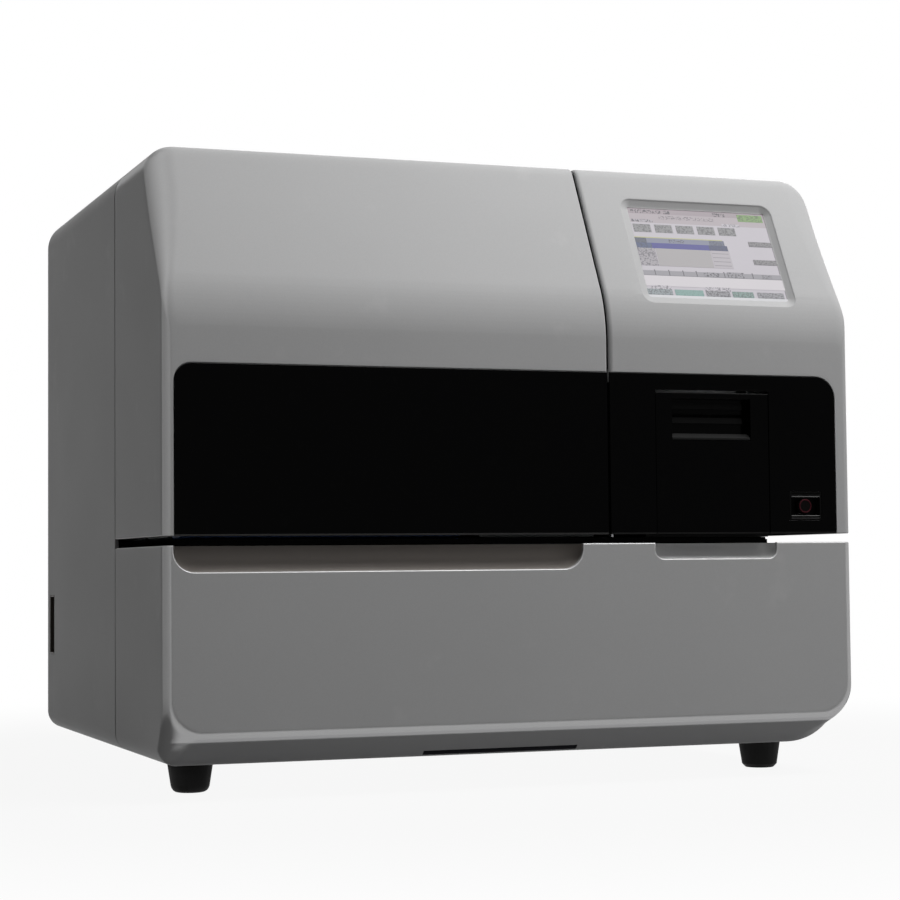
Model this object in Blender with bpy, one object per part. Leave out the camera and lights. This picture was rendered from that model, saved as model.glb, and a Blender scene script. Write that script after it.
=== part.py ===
"""A bench-top coagulation analyzer.

A satin silver cabinet on four rubber feet. A light-tight lid with a smoked window covers the
measuring bay on the left, a housing with a touch screen and a printer closes the right, and
one lower cover wraps the front below a black deck plate.

Metres, +Z up. The origin is on the table under the middle of the cabinet, the front faces -Y,
and +X is on the right as seen from the front. Each moving piece has its origin on its joint.
"""

import math

import bmesh
import bpy
from mathutils import Matrix, Vector

# Overall size of the cabinet, feet included
WIDTH = 0.566
DEPTH = 0.490
HEIGHT = 0.490
FLOOR_CLEARANCE = 0.0255

# Walls and fits
WALL = 0.003
GAP = 0.0003
SEAM = 0.0015
SPLIT_GROOVE = 0.0020
OVERRUN = 0.004
SHEET = 0.002
ARC_TOLERANCE = 0.00015
SMALLEST_RADIUS = 0.0005

# Side view of the cabinet: chin, flat face, slope, brow and rounded back
SLOPE_ANGLE = math.radians(27.8)
SLOPE_RADIUS = 0.095
BROW_SETBACK = 0.0649
BROW_RADIUS = 0.011
BROW_BLEND = 0.030
CHIN_HEIGHT = 0.0225
CHIN_DEPTH = 0.022
CHIN_RADIUS = 0.005

# Rounded edges of the cabinet seen from the front and from above
FRONT_EDGE_RADIUS = 0.007
TOP_EDGE_RADIUS = 0.024
BOTTOM_EDGE_RADIUS = 0.015
FACE_CORNER_RADIUS = 0.026
CHIN_RIGHT_RADIUS = 0.048
REAR_EDGE_RADIUS = 0.020

# Where the cabinet divides into its covers
LID_WIDTH_SHARE = 0.6233
LID_DEPTH = 0.170
COVER_RIM_SHARE = 0.3796
DECK_SLOT = 0.0068
BAND_DROP = 0.0476
PANEL_THICKNESS = 0.0015
FLANGE_THICKNESS = 0.0025
FLANGE_DEPTH = 0.014

# Measuring bay and deck
DECK_THICKNESS = 0.004
DECK_INSET = 0.004
BAY_DEPTH = 0.395
LID_ANGLE_LIMIT = math.radians(70)

LEFT = -WIDTH / 2
RIGHT = WIDTH / 2
FRONT = -DEPTH / 2
BACK = DEPTH / 2
SLOPE_FOOT = HEIGHT - BROW_SETBACK / math.tan(SLOPE_ANGLE)
CHIN_TOP = FLOOR_CLEARANCE + CHIN_HEIGHT
LID_WIDTH = WIDTH * LID_WIDTH_SHARE
SPLIT_X = LEFT + LID_WIDTH
SEAM_Y = FRONT + LID_DEPTH
COVER_RIM = HEIGHT * COVER_RIM_SHARE
LID_BOTTOM = COVER_RIM + DECK_SLOT
BAND_TOP = SLOPE_FOOT - BAND_DROP
DECK_LOW = COVER_RIM + GAP
DECK_TOP = DECK_LOW + DECK_THICKNESS

# Base pan and uprights stand just inside the covers
PAN_INSET = WALL + GAP
PAN_RIM = 0.085
UPRIGHT_OVERLAP = 0.010
UPRIGHT_OUTER = WIDTH / 2 - PAN_INSET - SHEET / 2
BAY_LEFT = -(UPRIGHT_OUTER - SHEET)
PARTITION_X = SPLIT_X + SPLIT_GROOVE / 2 + FLANGE_THICKNESS + GAP
BAY_RIGHT = PARTITION_X
BAY_WIDTH = BAY_RIGHT - BAY_LEFT
BAY_BACK = FRONT + BAY_DEPTH

PLANES = {
    "X": (Vector((0, 1, 0)), Vector((0, 0, 1)), Vector((1, 0, 0))),
    "Y": (Vector((1, 0, 0)), Vector((0, 0, 1)), Vector((0, 1, 0))),
    "Z": (Vector((1, 0, 0)), Vector((0, 1, 0)), Vector((0, 0, 1))),
}


# Shapes


def new_solid(mesh):
    """Turns a bmesh into an object whose faces point out."""
    bmesh.ops.recalc_face_normals(mesh, faces=mesh.faces)
    data = bpy.data.meshes.new("solid")
    mesh.to_mesh(data)
    mesh.free()
    solid = bpy.data.objects.new("solid", data)
    bpy.context.scene.collection.objects.link(solid)
    return solid


def loft(rings):
    """A closed solid through rings of equally many points, with a flat face on each end."""
    mesh = bmesh.new()
    loops = [[mesh.verts.new(point) for point in ring] for ring in rings]
    mesh.faces.new(loops[0])
    mesh.faces.new(loops[-1])
    for near, far in zip(loops, loops[1:]):
        for i in range(len(near)):
            j = (i + 1) % len(near)
            mesh.faces.new((near[i], near[j], far[j], far[i]))
    return new_solid(mesh)


def spot(axis, across, up, along):
    first, second, third = PLANES[axis]
    return first * across + second * up + third * along


def prism(outline, axis, start, end):
    return loft([[spot(axis, u, v, w) for u, v in outline] for w in (start, end)])


def box(low, high):
    outline = [(low[0], low[1]), (high[0], low[1]), (high[0], high[1]), (low[0], high[1])]
    return prism(outline, "Z", low[2], high[2])


def circle(centre, radius, sides):
    turns = [2 * math.pi * i / sides for i in range(sides)]
    return [(centre[0] + radius * math.cos(a), centre[1] + radius * math.sin(a)) for a in turns]


def cylinder(axis, centre, radius, start, end, sides=24):
    return prism(circle(centre, radius, sides), axis, start, end)


def turned(axis, centre, profile, sides=24):
    """A solid of revolution through (radius, place along the axis) pairs."""
    rings = []
    for radius, along in profile:
        rings.append([spot(axis, u, v, along) for u, v in circle(centre, radius, sides)])
    return loft(rings)


def rounded(corners, steps=None):
    """Outline points of a polygon of (u, v, radius) corners, each rounded by its radius."""
    points = []
    for i, (u, v, radius) in enumerate(corners):
        here = Vector((u, v))
        before = (Vector(corners[i - 1][:2]) - here).normalized()
        after = (Vector(corners[(i + 1) % len(corners)][:2]) - here).normalized()
        if radius <= 0:
            points.append(here)
            continue
        half = before.angle(after) / 2
        centre = here + (before + after).normalized() * radius / math.sin(half)
        reach = radius / math.tan(half)
        begin = here + before * reach - centre
        finish = here + after * reach - centre
        first = math.atan2(begin.y, begin.x)
        turn = math.remainder(math.atan2(finish.y, finish.x) - first, 2 * math.pi)
        count = steps
        if count is None:
            largest = 2 * math.acos(1 - min(ARC_TOLERANCE / radius, 1 / 2))
            count = max(2, math.ceil(abs(turn) / largest))
        for k in range(count + 1):
            angle = first + turn * k / count
            points.append(centre + Vector((math.cos(angle), math.sin(angle))) * radius)
    return points


def rectangle(low, high, radius=0, steps=3):
    corners = [
        (low[0], low[1], radius),
        (high[0], low[1], radius),
        (high[0], high[1], radius),
        (low[0], high[1], radius),
    ]
    return rounded(corners, steps)


def inset_corners(corners, inset):
    """The same counter-clockwise outline with every side moved in by one distance."""
    moved = []
    for i, (u, v, radius) in enumerate(corners):
        here = Vector((u, v))
        arriving = (here - Vector(corners[i - 1][:2])).normalized()
        leaving = (Vector(corners[(i + 1) % len(corners)][:2]) - here).normalized()
        first = Vector((-arriving.y, arriving.x))
        second = Vector((-leaving.y, leaving.x))
        corner = here + (first + second) * inset / (1 + first.dot(second))
        moved.append((corner.x, corner.y, max(radius - inset, SMALLEST_RADIUS)))
    return moved


def bake(solid):
    """Replaces an object's mesh by what its modifiers make of it."""
    graph = bpy.context.evaluated_depsgraph_get()
    finished = bpy.data.meshes.new_from_object(solid.evaluated_get(graph))
    solid.modifiers.clear()
    solid.data = finished
    return solid


def combine(solid, other, operation="DIFFERENCE"):
    """One solid from two, by an exact Boolean. The other solid is used up."""
    step = solid.modifiers.new("join", "BOOLEAN")
    step.operation = operation
    step.solver = "EXACT"
    step.object = other
    bake(solid)
    bpy.data.objects.remove(other, do_unlink=True)
    return solid


def union(first, *others):
    for other in others:
        combine(first, other, "UNION")
    return first


def cut(first, *others):
    for other in others:
        combine(first, other)
    return first


def soften(solid, width, segments=2, limit=math.radians(40)):
    """Rounds the sharp edges of a plain solid."""
    step = solid.modifiers.new("soften", "BEVEL")
    step.width = width
    step.segments = segments
    step.limit_method = "ANGLE"
    step.angle_limit = limit
    step.use_clamp_overlap = True
    return bake(solid)


def turn(solid, matrix):
    solid.data.transform(matrix)
    return solid


def material(name, colour, roughness, metallic=0.0):
    paint = bpy.data.materials.new(name)
    paint.use_nodes = True
    shader = paint.node_tree.nodes["Principled BSDF"]
    shader.inputs["Base Color"].default_value = (*colour, 1.0)
    shader.inputs["Roughness"].default_value = roughness
    shader.inputs["Metallic"].default_value = metallic
    return paint


def finish(name, solid, paint, pivot=None):
    """Names a finished piece, paints it and puts its origin on its joint."""
    solid.name = name
    solid.data.name = name
    solid.data.materials.clear()
    solid.data.materials.append(paint)
    for face in solid.data.polygons:
        face.material_index = 0
    solid.data.shade_smooth()
    solid.data.set_sharp_from_angle(angle=math.radians(30))
    if pivot is not None:
        solid.data.transform(Matrix.Translation(-Vector(pivot)))
        solid.location = pivot
    return solid


# The cabinet's outer form, from which every cover is cut


def side_corners():
    return [
        (FRONT, CHIN_TOP, CHIN_RADIUS),
        (FRONT + CHIN_DEPTH, FLOOR_CLEARANCE, CHIN_RADIUS),
        (BACK, FLOOR_CLEARANCE, REAR_EDGE_RADIUS),
        (BACK, HEIGHT, REAR_EDGE_RADIUS),
        (FRONT + BROW_SETBACK, HEIGHT, BROW_RADIUS),
        (FRONT, SLOPE_FOOT, SLOPE_RADIUS),
    ]


def edge_setback(distance, radius):
    """How far a face ending in a quarter round is set in, at a distance from its end."""
    if distance >= radius:
        return 0.0
    return radius - math.sqrt(max(radius**2 - (radius - distance) ** 2, 0.0))


def heights_at(outline, depth):
    """Lowest and highest point of the side view at one depth."""
    found = []
    for (y0, z0), (y1, z1) in zip(outline, outline[1:] + outline[:1]):
        if min(y0, y1) - GAP / 100 <= depth <= max(y0, y1) + GAP / 100:
            if abs(y1 - y0) < GAP / 100:
                found += [z0, z1]
            else:
                found.append(z0 + (z1 - z0) * (depth - y0) / (y1 - y0))
    return min(found), max(found)


def smooth_step(share):
    share = min(max(share, 0.0), 1.0)
    return share * share * (3 - 2 * share)


def bottom_radii(depth, low, inset):
    """Radius of the lower left and right corner: the face's, and further back the edge's."""
    chin = 1.0
    if depth < FRONT + CHIN_DEPTH:
        chin = smooth_step((CHIN_TOP + inset - low) / CHIN_HEIGHT)
    back = smooth_step((depth - FRONT - CHIN_DEPTH) / (LID_DEPTH - CHIN_DEPTH))
    right = CHIN_RIGHT_RADIUS + (BOTTOM_EDGE_RADIUS - CHIN_RIGHT_RADIUS) * back
    found = []
    for edge in (BOTTOM_EDGE_RADIUS, right):
        radius = FACE_CORNER_RADIUS + (edge - FACE_CORNER_RADIUS) * chin
        found.append(max(radius - inset, SMALLEST_RADIUS))
    return found


def cabinet(inset=0.0):
    """The whole cabinet as one solid, with every face moved in by the inset."""
    outline = rounded(inset_corners(side_corners(), inset))
    outline = [(point[0], point[1]) for point in outline]
    front = min(y for y, z in outline)
    back = max(y for y, z in outline)
    front_radius = max(FRONT_EDGE_RADIUS - inset, SMALLEST_RADIUS)
    rear_radius = max(REAR_EDGE_RADIUS - inset, SMALLEST_RADIUS)
    wanted = [y for y, z in outline]
    edge_steps = 4
    for k in range(edge_steps + 1):
        angle = math.pi / 2 * k / edge_steps
        wanted.append(front + front_radius * (1 - math.cos(angle)))
    blend_steps = 5
    for k in range(1, blend_steps):
        wanted.append(FRONT + CHIN_DEPTH + (LID_DEPTH - CHIN_DEPTH) * k / blend_steps)
    stations = [front]
    for depth in sorted(wanted):
        if depth - stations[-1] > GAP and back - depth > GAP:
            stations.append(depth)
    stations.append(back)
    rings = []
    for depth in stations:
        low, high = heights_at(outline, depth)
        half = WIDTH / 2 - inset
        half -= edge_setback(depth - front, front_radius)
        half -= edge_setback(back - depth, rear_radius)
        rise = 1.0
        if depth < FRONT + BROW_SETBACK:
            rise = smooth_step((high + inset - HEIGHT + BROW_BLEND) / BROW_BLEND)
        top = FRONT_EDGE_RADIUS + (TOP_EDGE_RADIUS - FRONT_EDGE_RADIUS) * rise
        top = max(top - inset, SMALLEST_RADIUS)
        left_low, right_low = bottom_radii(depth, low, inset)
        corners = [
            (-half, low, left_low),
            (half, low, right_low),
            (half, high, top),
            (-half, high, top),
        ]
        corner_steps = 7
        rings.append([(u, depth, v) for u, v in rounded(corners, corner_steps)])
    return loft(rings)


def cover(low, high, hollow_low, hollow_high, kept=()):
    """A cover cut from the cabinet: the part between two corners, hollowed to its wall."""
    piece = combine(cabinet(), box(low, high), "INTERSECT")
    hollow = combine(cabinet(WALL), box(hollow_low, hollow_high), "INTERSECT")
    return cut(piece, cut(hollow, *kept))


def bottom_opening():
    """Cutter for the opening under the covers that leaves the base pan bare."""
    lip = 0.009
    half = WIDTH / 2 - CHIN_RIGHT_RADIUS - lip
    low = (-half, FRONT + CHIN_DEPTH + lip, -OVERRUN)
    high = (half, BACK - REAR_EDGE_RADIUS - lip, FLOOR_CLEARANCE + WALL + OVERRUN)
    return box(low, high)


def flange_opening(side_x):
    """Cutter that opens a cover's end wall and leaves a flange along its profile."""
    outline = rounded(inset_corners(side_corners(), WALL + FLANGE_DEPTH))
    return prism(outline, "X", side_x - OVERRUN, side_x + OVERRUN)


def slope_frame():
    """From (across, up the slope, out of the slope) to the world."""
    up = Vector((0, math.sin(SLOPE_ANGLE), math.cos(SLOPE_ANGLE)))
    out = Vector((0, -math.cos(SLOPE_ANGLE), math.sin(SLOPE_ANGLE)))
    frame = Matrix((Vector((1, 0, 0)), up, out)).transposed().to_4x4()
    return Matrix.Translation(Vector((0, FRONT, SLOPE_FOOT))) @ frame


# Covers


REAR_PANEL_MARGIN_X = 0.033
REAR_PANEL_LOW = 0.060
REAR_PANEL_DROP = 0.032
REAR_PANEL_SETBACK = 0.016
REAR_LEDGE = 0.008

SWITCH_WELL_BACK = 0.0284
SWITCH_WELL_LENGTH = 0.0231
SWITCH_WELL_LOW = 0.093
SWITCH_WELL_HEIGHT = 0.0536
SWITCH_WELL_DEPTH = 0.016


def rear_panel_corners(inset=0.0):
    half = WIDTH / 2 - REAR_PANEL_MARGIN_X - inset
    return (-half, REAR_PANEL_LOW + inset), (half, HEIGHT - REAR_PANEL_DROP - inset)


def switch_well_corners(inset=0.0):
    low_y = BACK - SWITCH_WELL_BACK - SWITCH_WELL_LENGTH
    low = (low_y + inset, SWITCH_WELL_LOW + inset)
    high = (low_y + SWITCH_WELL_LENGTH - inset, SWITCH_WELL_LOW + SWITCH_WELL_HEIGHT - inset)
    return low, high


def rear_housing(paint):
    rim_depth = REAR_PANEL_SETBACK + SHEET + GAP + SHEET
    low, high = rear_panel_corners(-WALL)
    rim = box((low[0], BACK - rim_depth, low[1]), (high[0], BACK + OVERRUN, high[1]))
    start = SEAM_Y + SEAM / 2
    shell = cover(
        (LEFT - OVERRUN, start, -OVERRUN),
        (RIGHT + OVERRUN, BACK + OVERRUN, HEIGHT + OVERRUN),
        (LEFT - OVERRUN, start - OVERRUN, -OVERRUN),
        (RIGHT + OVERRUN, BACK + OVERRUN, HEIGHT + OVERRUN),
        [rim],
    )
    low, high = rear_panel_corners()
    seat = BACK - REAR_PANEL_SETBACK - SHEET - GAP
    rebate = box((low[0], seat, low[1]), (high[0], BACK + OVERRUN, high[1]))
    low, high = rear_panel_corners(REAR_LEDGE)
    through = box((low[0], seat - OVERRUN, low[1]), (high[0], BACK, high[1]))
    low, high = switch_well_corners()
    port = box((LEFT - OVERRUN, low[0], low[1]), (LEFT + WALL + OVERRUN, high[0], high[1]))
    cut(shell, rebate, through, port, bottom_opening())
    return finish("rear_housing", shell, paint)


# Black panel on the right, with the printer door and the stop switch in it
BAND_RIGHT_INDENT = 0.0135
BAND_RIGHT_CORNER = 0.0175
BAND_LIP = 0.008
DOOR_START = 0.0402
DOOR_TO_STOP = 0.0175
DOOR_DROP = 0.0148
DOOR_TOP_GAP = 0.0018
DOOR_SIDE_GAP = 0.0005
STOP_WELL_START = 0.0270
STOP_WELL_WIDTH = 0.0295
STOP_WELL_LOW = 0.0103
STOP_WELL_HEIGHT = 0.0235

STOP_RIGHT = RIGHT - STOP_WELL_START
STOP_LEFT = STOP_RIGHT - STOP_WELL_WIDTH
STOP_LOW = LID_BOTTOM + STOP_WELL_LOW
STOP_HIGH = STOP_LOW + STOP_WELL_HEIGHT
DOOR_LEFT = SPLIT_X + DOOR_START
DOOR_RIGHT = STOP_LEFT - DOOR_TO_STOP
DOOR_TOP = BAND_TOP - DOOR_DROP

# Finger scoops in the rim of the lower cover, one under the lid and one under the door
LEFT_SCOOP_INDENT = 0.0075
LEFT_SCOOP_END = 0.0230
RIGHT_SCOOP_INDENT = 0.0015
RIGHT_SCOOP_END = 0.0058
LEFT_SCOOP = {
    "left": LEFT + LEFT_SCOOP_INDENT,
    "right": SPLIT_X - LEFT_SCOOP_END,
    "drop": 0.0195,
    "corner": 0.016,
}
RIGHT_SCOOP = {
    "left": DOOR_LEFT - RIGHT_SCOOP_INDENT,
    "right": DOOR_RIGHT + RIGHT_SCOOP_END,
    "drop": 0.0125,
    "corner": 0.007,
}
SCOOP_REACH = 0.0145
SCOOP_COVE = 0.010
SCOOP_WALL = 0.0025


def scoop_block(scoop):
    """Material kept behind a scoop."""
    low = (scoop["left"] - SCOOP_WALL, FRONT - OVERRUN, COVER_RIM - scoop["drop"] - SCOOP_WALL)
    high = (scoop["right"] + SCOOP_WALL, FRONT + SCOOP_REACH + SCOOP_WALL, COVER_RIM + OVERRUN)
    return box(low, high)


def scoop_cutter(scoop):
    """A pocket open to the front and the top, with a cove at its back and ends."""
    left = scoop["left"]
    right = scoop["right"]
    floor = COVER_RIM - scoop["drop"]
    depths = [FRONT - OVERRUN, FRONT]
    cove_steps = 4
    for k in range(cove_steps + 1):
        angle = math.pi / 2 * k / cove_steps
        depths.append(FRONT + SCOOP_REACH - SCOOP_COVE * (1 - math.sin(angle)))
    rings = []
    for depth in depths:
        tuck = edge_setback(FRONT + SCOOP_REACH - depth, SCOOP_COVE)
        corners = [
            (left + tuck, floor + tuck, max(scoop["corner"] - tuck / 2, SMALLEST_RADIUS)),
            (right - tuck, floor + tuck, max(scoop["corner"] - tuck / 2, SMALLEST_RADIUS)),
            (right - tuck, COVER_RIM + OVERRUN + SCOOP_COVE, 0),
            (left + tuck, COVER_RIM + OVERRUN + SCOOP_COVE, 0),
        ]
        corner_steps = 5
        rings.append([(u, depth, v) for u, v in rounded(corners, corner_steps)])
    return loft(rings)


def lower_front_cover(paint):
    end = SEAM_Y - SEAM / 2
    scoops = [LEFT_SCOOP, RIGHT_SCOOP]
    shell = cover(
        (LEFT - OVERRUN, FRONT - OVERRUN, -OVERRUN),
        (RIGHT + OVERRUN, end, COVER_RIM),
        (LEFT - OVERRUN, FRONT - OVERRUN, -OVERRUN),
        (RIGHT + OVERRUN, end + OVERRUN, COVER_RIM + OVERRUN),
        [scoop_block(scoop) for scoop in scoops],
    )
    cut(shell, bottom_opening(), *[scoop_cutter(scoop) for scoop in scoops])
    return finish("lower_front_cover", shell, paint)


WINDOW_INDENT = 0.008
WINDOW_CORNER = 0.013
WINDOW_LIP = 0.008


def window_outline(inset, drop=0.0):
    """The window seen from the front. It runs out at the lid's lower and right edges."""
    left = LEFT + WINDOW_INDENT + inset
    right = SPLIT_X - SPLIT_GROOVE / 2 + drop
    top = BAND_TOP - inset
    corners = [
        (left, LID_BOTTOM - drop, 0),
        (right, LID_BOTTOM - drop, 0),
        (right, top, 0),
        (left, top, max(WINDOW_CORNER - inset, SMALLEST_RADIUS)),
    ]
    corner_steps = 5
    return rounded(corners, corner_steps)


def lid_shell(paint, pivot):
    right = SPLIT_X - SPLIT_GROOVE / 2
    end = SEAM_Y - SEAM / 2
    shell = cover(
        (LEFT - OVERRUN, FRONT - OVERRUN, LID_BOTTOM),
        (right, end, HEIGHT + OVERRUN),
        (LEFT - OVERRUN, FRONT - OVERRUN, LID_BOTTOM - OVERRUN),
        (right - FLANGE_THICKNESS, end + OVERRUN, HEIGHT + OVERRUN),
    )
    rebate = prism(window_outline(0, OVERRUN), "Y", FRONT - OVERRUN, FRONT + PANEL_THICKNESS + GAP)
    low = (LEFT + WINDOW_INDENT + WINDOW_LIP, FRONT - OVERRUN, LID_BOTTOM + WINDOW_LIP)
    high = (right - WINDOW_LIP, FRONT + WALL + OVERRUN, BAND_TOP - WINDOW_LIP)
    cut(shell, flange_opening(right), rebate, box(low, high))
    return finish("lid_shell", shell, paint, pivot)


def lid_window(paint, pivot):
    plate = prism(window_outline(GAP), "Y", FRONT, FRONT + PANEL_THICKNESS)
    return finish("lid_window", plate, paint, pivot)


# Touch screen: places across the cabinet and up the slope from its foot
SCREEN_START = 0.0352
SCREEN_END = 0.0430
SCREEN_LOW = 0.0088
SCREEN_HIGH = 0.1088
SCREEN_RECESS_CORNER = 0.009
SCREEN_RECESS_DEPTH = 0.006
SCREEN_FRAME = 0.0072
SCREEN_LEDGE = 0.0010
SCREEN_CORNER = 0.0020
SCREEN_FLOOR = 0.0025
SCREEN_LIP = 0.004
SCREEN_MODULE_THICKNESS = 0.007


def screen_outline(inset, radius):
    low = (SPLIT_X + SCREEN_START + inset, SCREEN_LOW + inset)
    high = (RIGHT - SCREEN_END - inset, SCREEN_HIGH - inset)
    return rectangle(low, high, radius)


def screen_funnel():
    """Cutter with four sloping walls from the surface down to the edge of the glass."""
    stages = [
        (SCREEN_FRAME - SCREEN_LEDGE, SCREEN_CORNER, -SCREEN_RECESS_DEPTH),
        (0, SCREEN_RECESS_CORNER, 0),
        (0, SCREEN_RECESS_CORNER, OVERRUN),
    ]
    return loft([[(u, v, w) for u, v in screen_outline(inset, radius)] for inset, radius, w in stages])


def band_outline(inset, drop=0.0):
    """The black panel seen from the front. It runs out at the groove and the lower edge."""
    left = SPLIT_X + SPLIT_GROOVE / 2 - drop
    right = RIGHT - BAND_RIGHT_INDENT - inset
    top = BAND_TOP - inset
    corners = [
        (left, LID_BOTTOM - drop, 0),
        (right, LID_BOTTOM - drop, 0),
        (right, top, max(BAND_RIGHT_CORNER - inset, SMALLEST_RADIUS)),
        (left, top, 0),
    ]
    corner_steps = 5
    return rounded(corners, corner_steps)


def display_housing(paint):
    left = SPLIT_X + SPLIT_GROOVE / 2
    end = SEAM_Y - SEAM / 2
    frame = slope_frame()
    behind = -SCREEN_RECESS_DEPTH - SCREEN_FLOOR
    block = prism(screen_outline(-WALL, 0), "Z", behind, OVERRUN)
    shell = cover(
        (left, FRONT - OVERRUN, LID_BOTTOM),
        (RIGHT + OVERRUN, end, HEIGHT + OVERRUN),
        (left + FLANGE_THICKNESS, FRONT - OVERRUN, LID_BOTTOM - OVERRUN),
        (RIGHT + OVERRUN, end + OVERRUN, HEIGHT + OVERRUN),
        [turn(block, frame)],
    )
    recess = screen_funnel()
    port = prism(screen_outline(SCREEN_FRAME, 0), "Z", behind - OVERRUN, OVERRUN)
    rebate = prism(band_outline(0, OVERRUN), "Y", FRONT - OVERRUN, FRONT + PANEL_THICKNESS + GAP)
    low = (left + BAND_LIP, FRONT - OVERRUN, LID_BOTTOM + BAND_LIP)
    high = (RIGHT - BAND_RIGHT_INDENT - BAND_LIP, FRONT + WALL + OVERRUN, BAND_TOP - BAND_LIP)
    cut(shell, flange_opening(left), turn(recess, frame), turn(port, frame), rebate, box(low, high))
    return finish("display_housing", shell, paint)


def touch_screen(paint):
    behind = -SCREEN_RECESS_DEPTH - SCREEN_FLOOR - GAP
    glass_drop = 0.0004
    rear = behind - SCREEN_MODULE_THICKNESS
    back = prism(screen_outline(SCREEN_FRAME - SCREEN_LIP, 0), "Z", rear, behind)
    front = prism(
        screen_outline(SCREEN_FRAME + GAP, 0),
        "Z",
        behind - SCREEN_MODULE_THICKNESS / 2,
        -SCREEN_RECESS_DEPTH - glass_drop,
    )
    return finish("touch_screen", turn(union(back, front), slope_frame()), paint)


def right_front_panel(paint):
    plate = prism(band_outline(GAP), "Y", FRONT, FRONT + PANEL_THICKNESS)
    low = (DOOR_LEFT - DOOR_SIDE_GAP, FRONT - OVERRUN, LID_BOTTOM - OVERRUN)
    high = (DOOR_RIGHT + DOOR_SIDE_GAP, FRONT + OVERRUN, DOOR_TOP + DOOR_TOP_GAP)
    doorway = box(low, high)
    well = box(
        (STOP_LEFT, FRONT - OVERRUN, STOP_LOW),
        (STOP_RIGHT, FRONT + OVERRUN, STOP_HIGH),
    )
    return finish("right_front_panel", cut(plate, doorway, well), paint)


STOP_BUTTON_RADIUS = 0.0060
STOP_BUTTON_RISE = 0.0002
STOP_TRAVEL = 0.0020
STOP_WELL_DEPTH = 0.009
STOP_WELL_WALL = 0.0015


def stop_centre():
    return (STOP_LEFT + STOP_RIGHT) / 2, (STOP_LOW + STOP_HIGH) / 2


def stop_switch_well(paint):
    low = (STOP_LEFT + GAP, FRONT, STOP_LOW + GAP)
    high = (STOP_RIGHT - GAP, FRONT + STOP_WELL_DEPTH, STOP_HIGH - GAP)
    tray = box(low, high)
    inner_low = (low[0] + STOP_WELL_WALL, FRONT - OVERRUN, low[2] + STOP_WELL_WALL)
    inner_high = (
        high[0] - STOP_WELL_WALL,
        high[1] - STOP_WELL_WALL,
        high[2] - STOP_WELL_WALL,
    )
    port = cylinder("Y", stop_centre(), STOP_BUTTON_RADIUS + GAP, FRONT, high[1] + OVERRUN)
    cut(tray, box(inner_low, inner_high), port)
    rail = 0.0016
    rail_drop = 0.0030
    for height in (STOP_HIGH - rail_drop, STOP_LOW + rail_drop):
        bar_low = (low[0] + STOP_WELL_WALL / 2, FRONT, height - rail / 2)
        bar_high = (high[0] - STOP_WELL_WALL / 2, FRONT + rail, height + rail / 2)
        union(tray, box(bar_low, bar_high))
    return finish("stop_switch_well", tray, paint)


def stop_button(paint):
    stem = 0.014
    edge = 0.0008
    start = FRONT + STOP_BUTTON_RISE
    profile = [
        (STOP_BUTTON_RADIUS - edge, start),
        (STOP_BUTTON_RADIUS, start + edge),
        (STOP_BUTTON_RADIUS, start + stem),
    ]
    centre = stop_centre()
    pivot = (centre[0], start + stem, centre[1])
    return finish("stop_button", turned("Y", centre, profile), paint, pivot)


# Printer behind the door


DOOR_AXIS_SETBACK = 0.0038
DOOR_AXIS_DROP = 0.0024
DOOR_PIN_RADIUS = 0.0009
DOOR_CHAMFER = 0.0012
PRINTER_SIDE = 0.0030
PRINTER_CLEARANCE = 0.0015
PRINTER_DEPTH_SHARE = 0.788
PRINTER_FOOT_SETBACK = 0.012
ROLL_SPINDLE_RADIUS = 0.004
ROLL_SETBACK_SHARE = 0.4904
ROLL_RISE_SHARE = 0.3695
ROLL_RADIUS_SHARE = 0.2102
SPINDLE_SHARE = 0.75
PLATEN_RADIUS = 0.006
PLATEN_SETBACK = 0.030
PLATEN_DROP = 0.014
EXIT_START = 0.0140
EXIT_END = 0.0160
EXIT_HIGH = 0.0045
EXIT_HEIGHT = 0.0335
EXIT_DEPTH = 0.0085
EXIT_WALL = 0.0020

PRINTER_HEIGHT = DOOR_TOP - DECK_TOP
PRINTER_DEPTH = PRINTER_HEIGHT * PRINTER_DEPTH_SHARE
ROLL_SETBACK = PRINTER_HEIGHT * ROLL_SETBACK_SHARE
ROLL_RADIUS = PRINTER_HEIGHT * ROLL_RADIUS_SHARE
EXIT_LEFT = DOOR_LEFT + EXIT_START
EXIT_RIGHT = DOOR_RIGHT - EXIT_END
DOOR_AXIS_Y = FRONT + DOOR_AXIS_SETBACK
DOOR_AXIS_Z = DOOR_TOP - DOOR_AXIS_DROP


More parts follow.
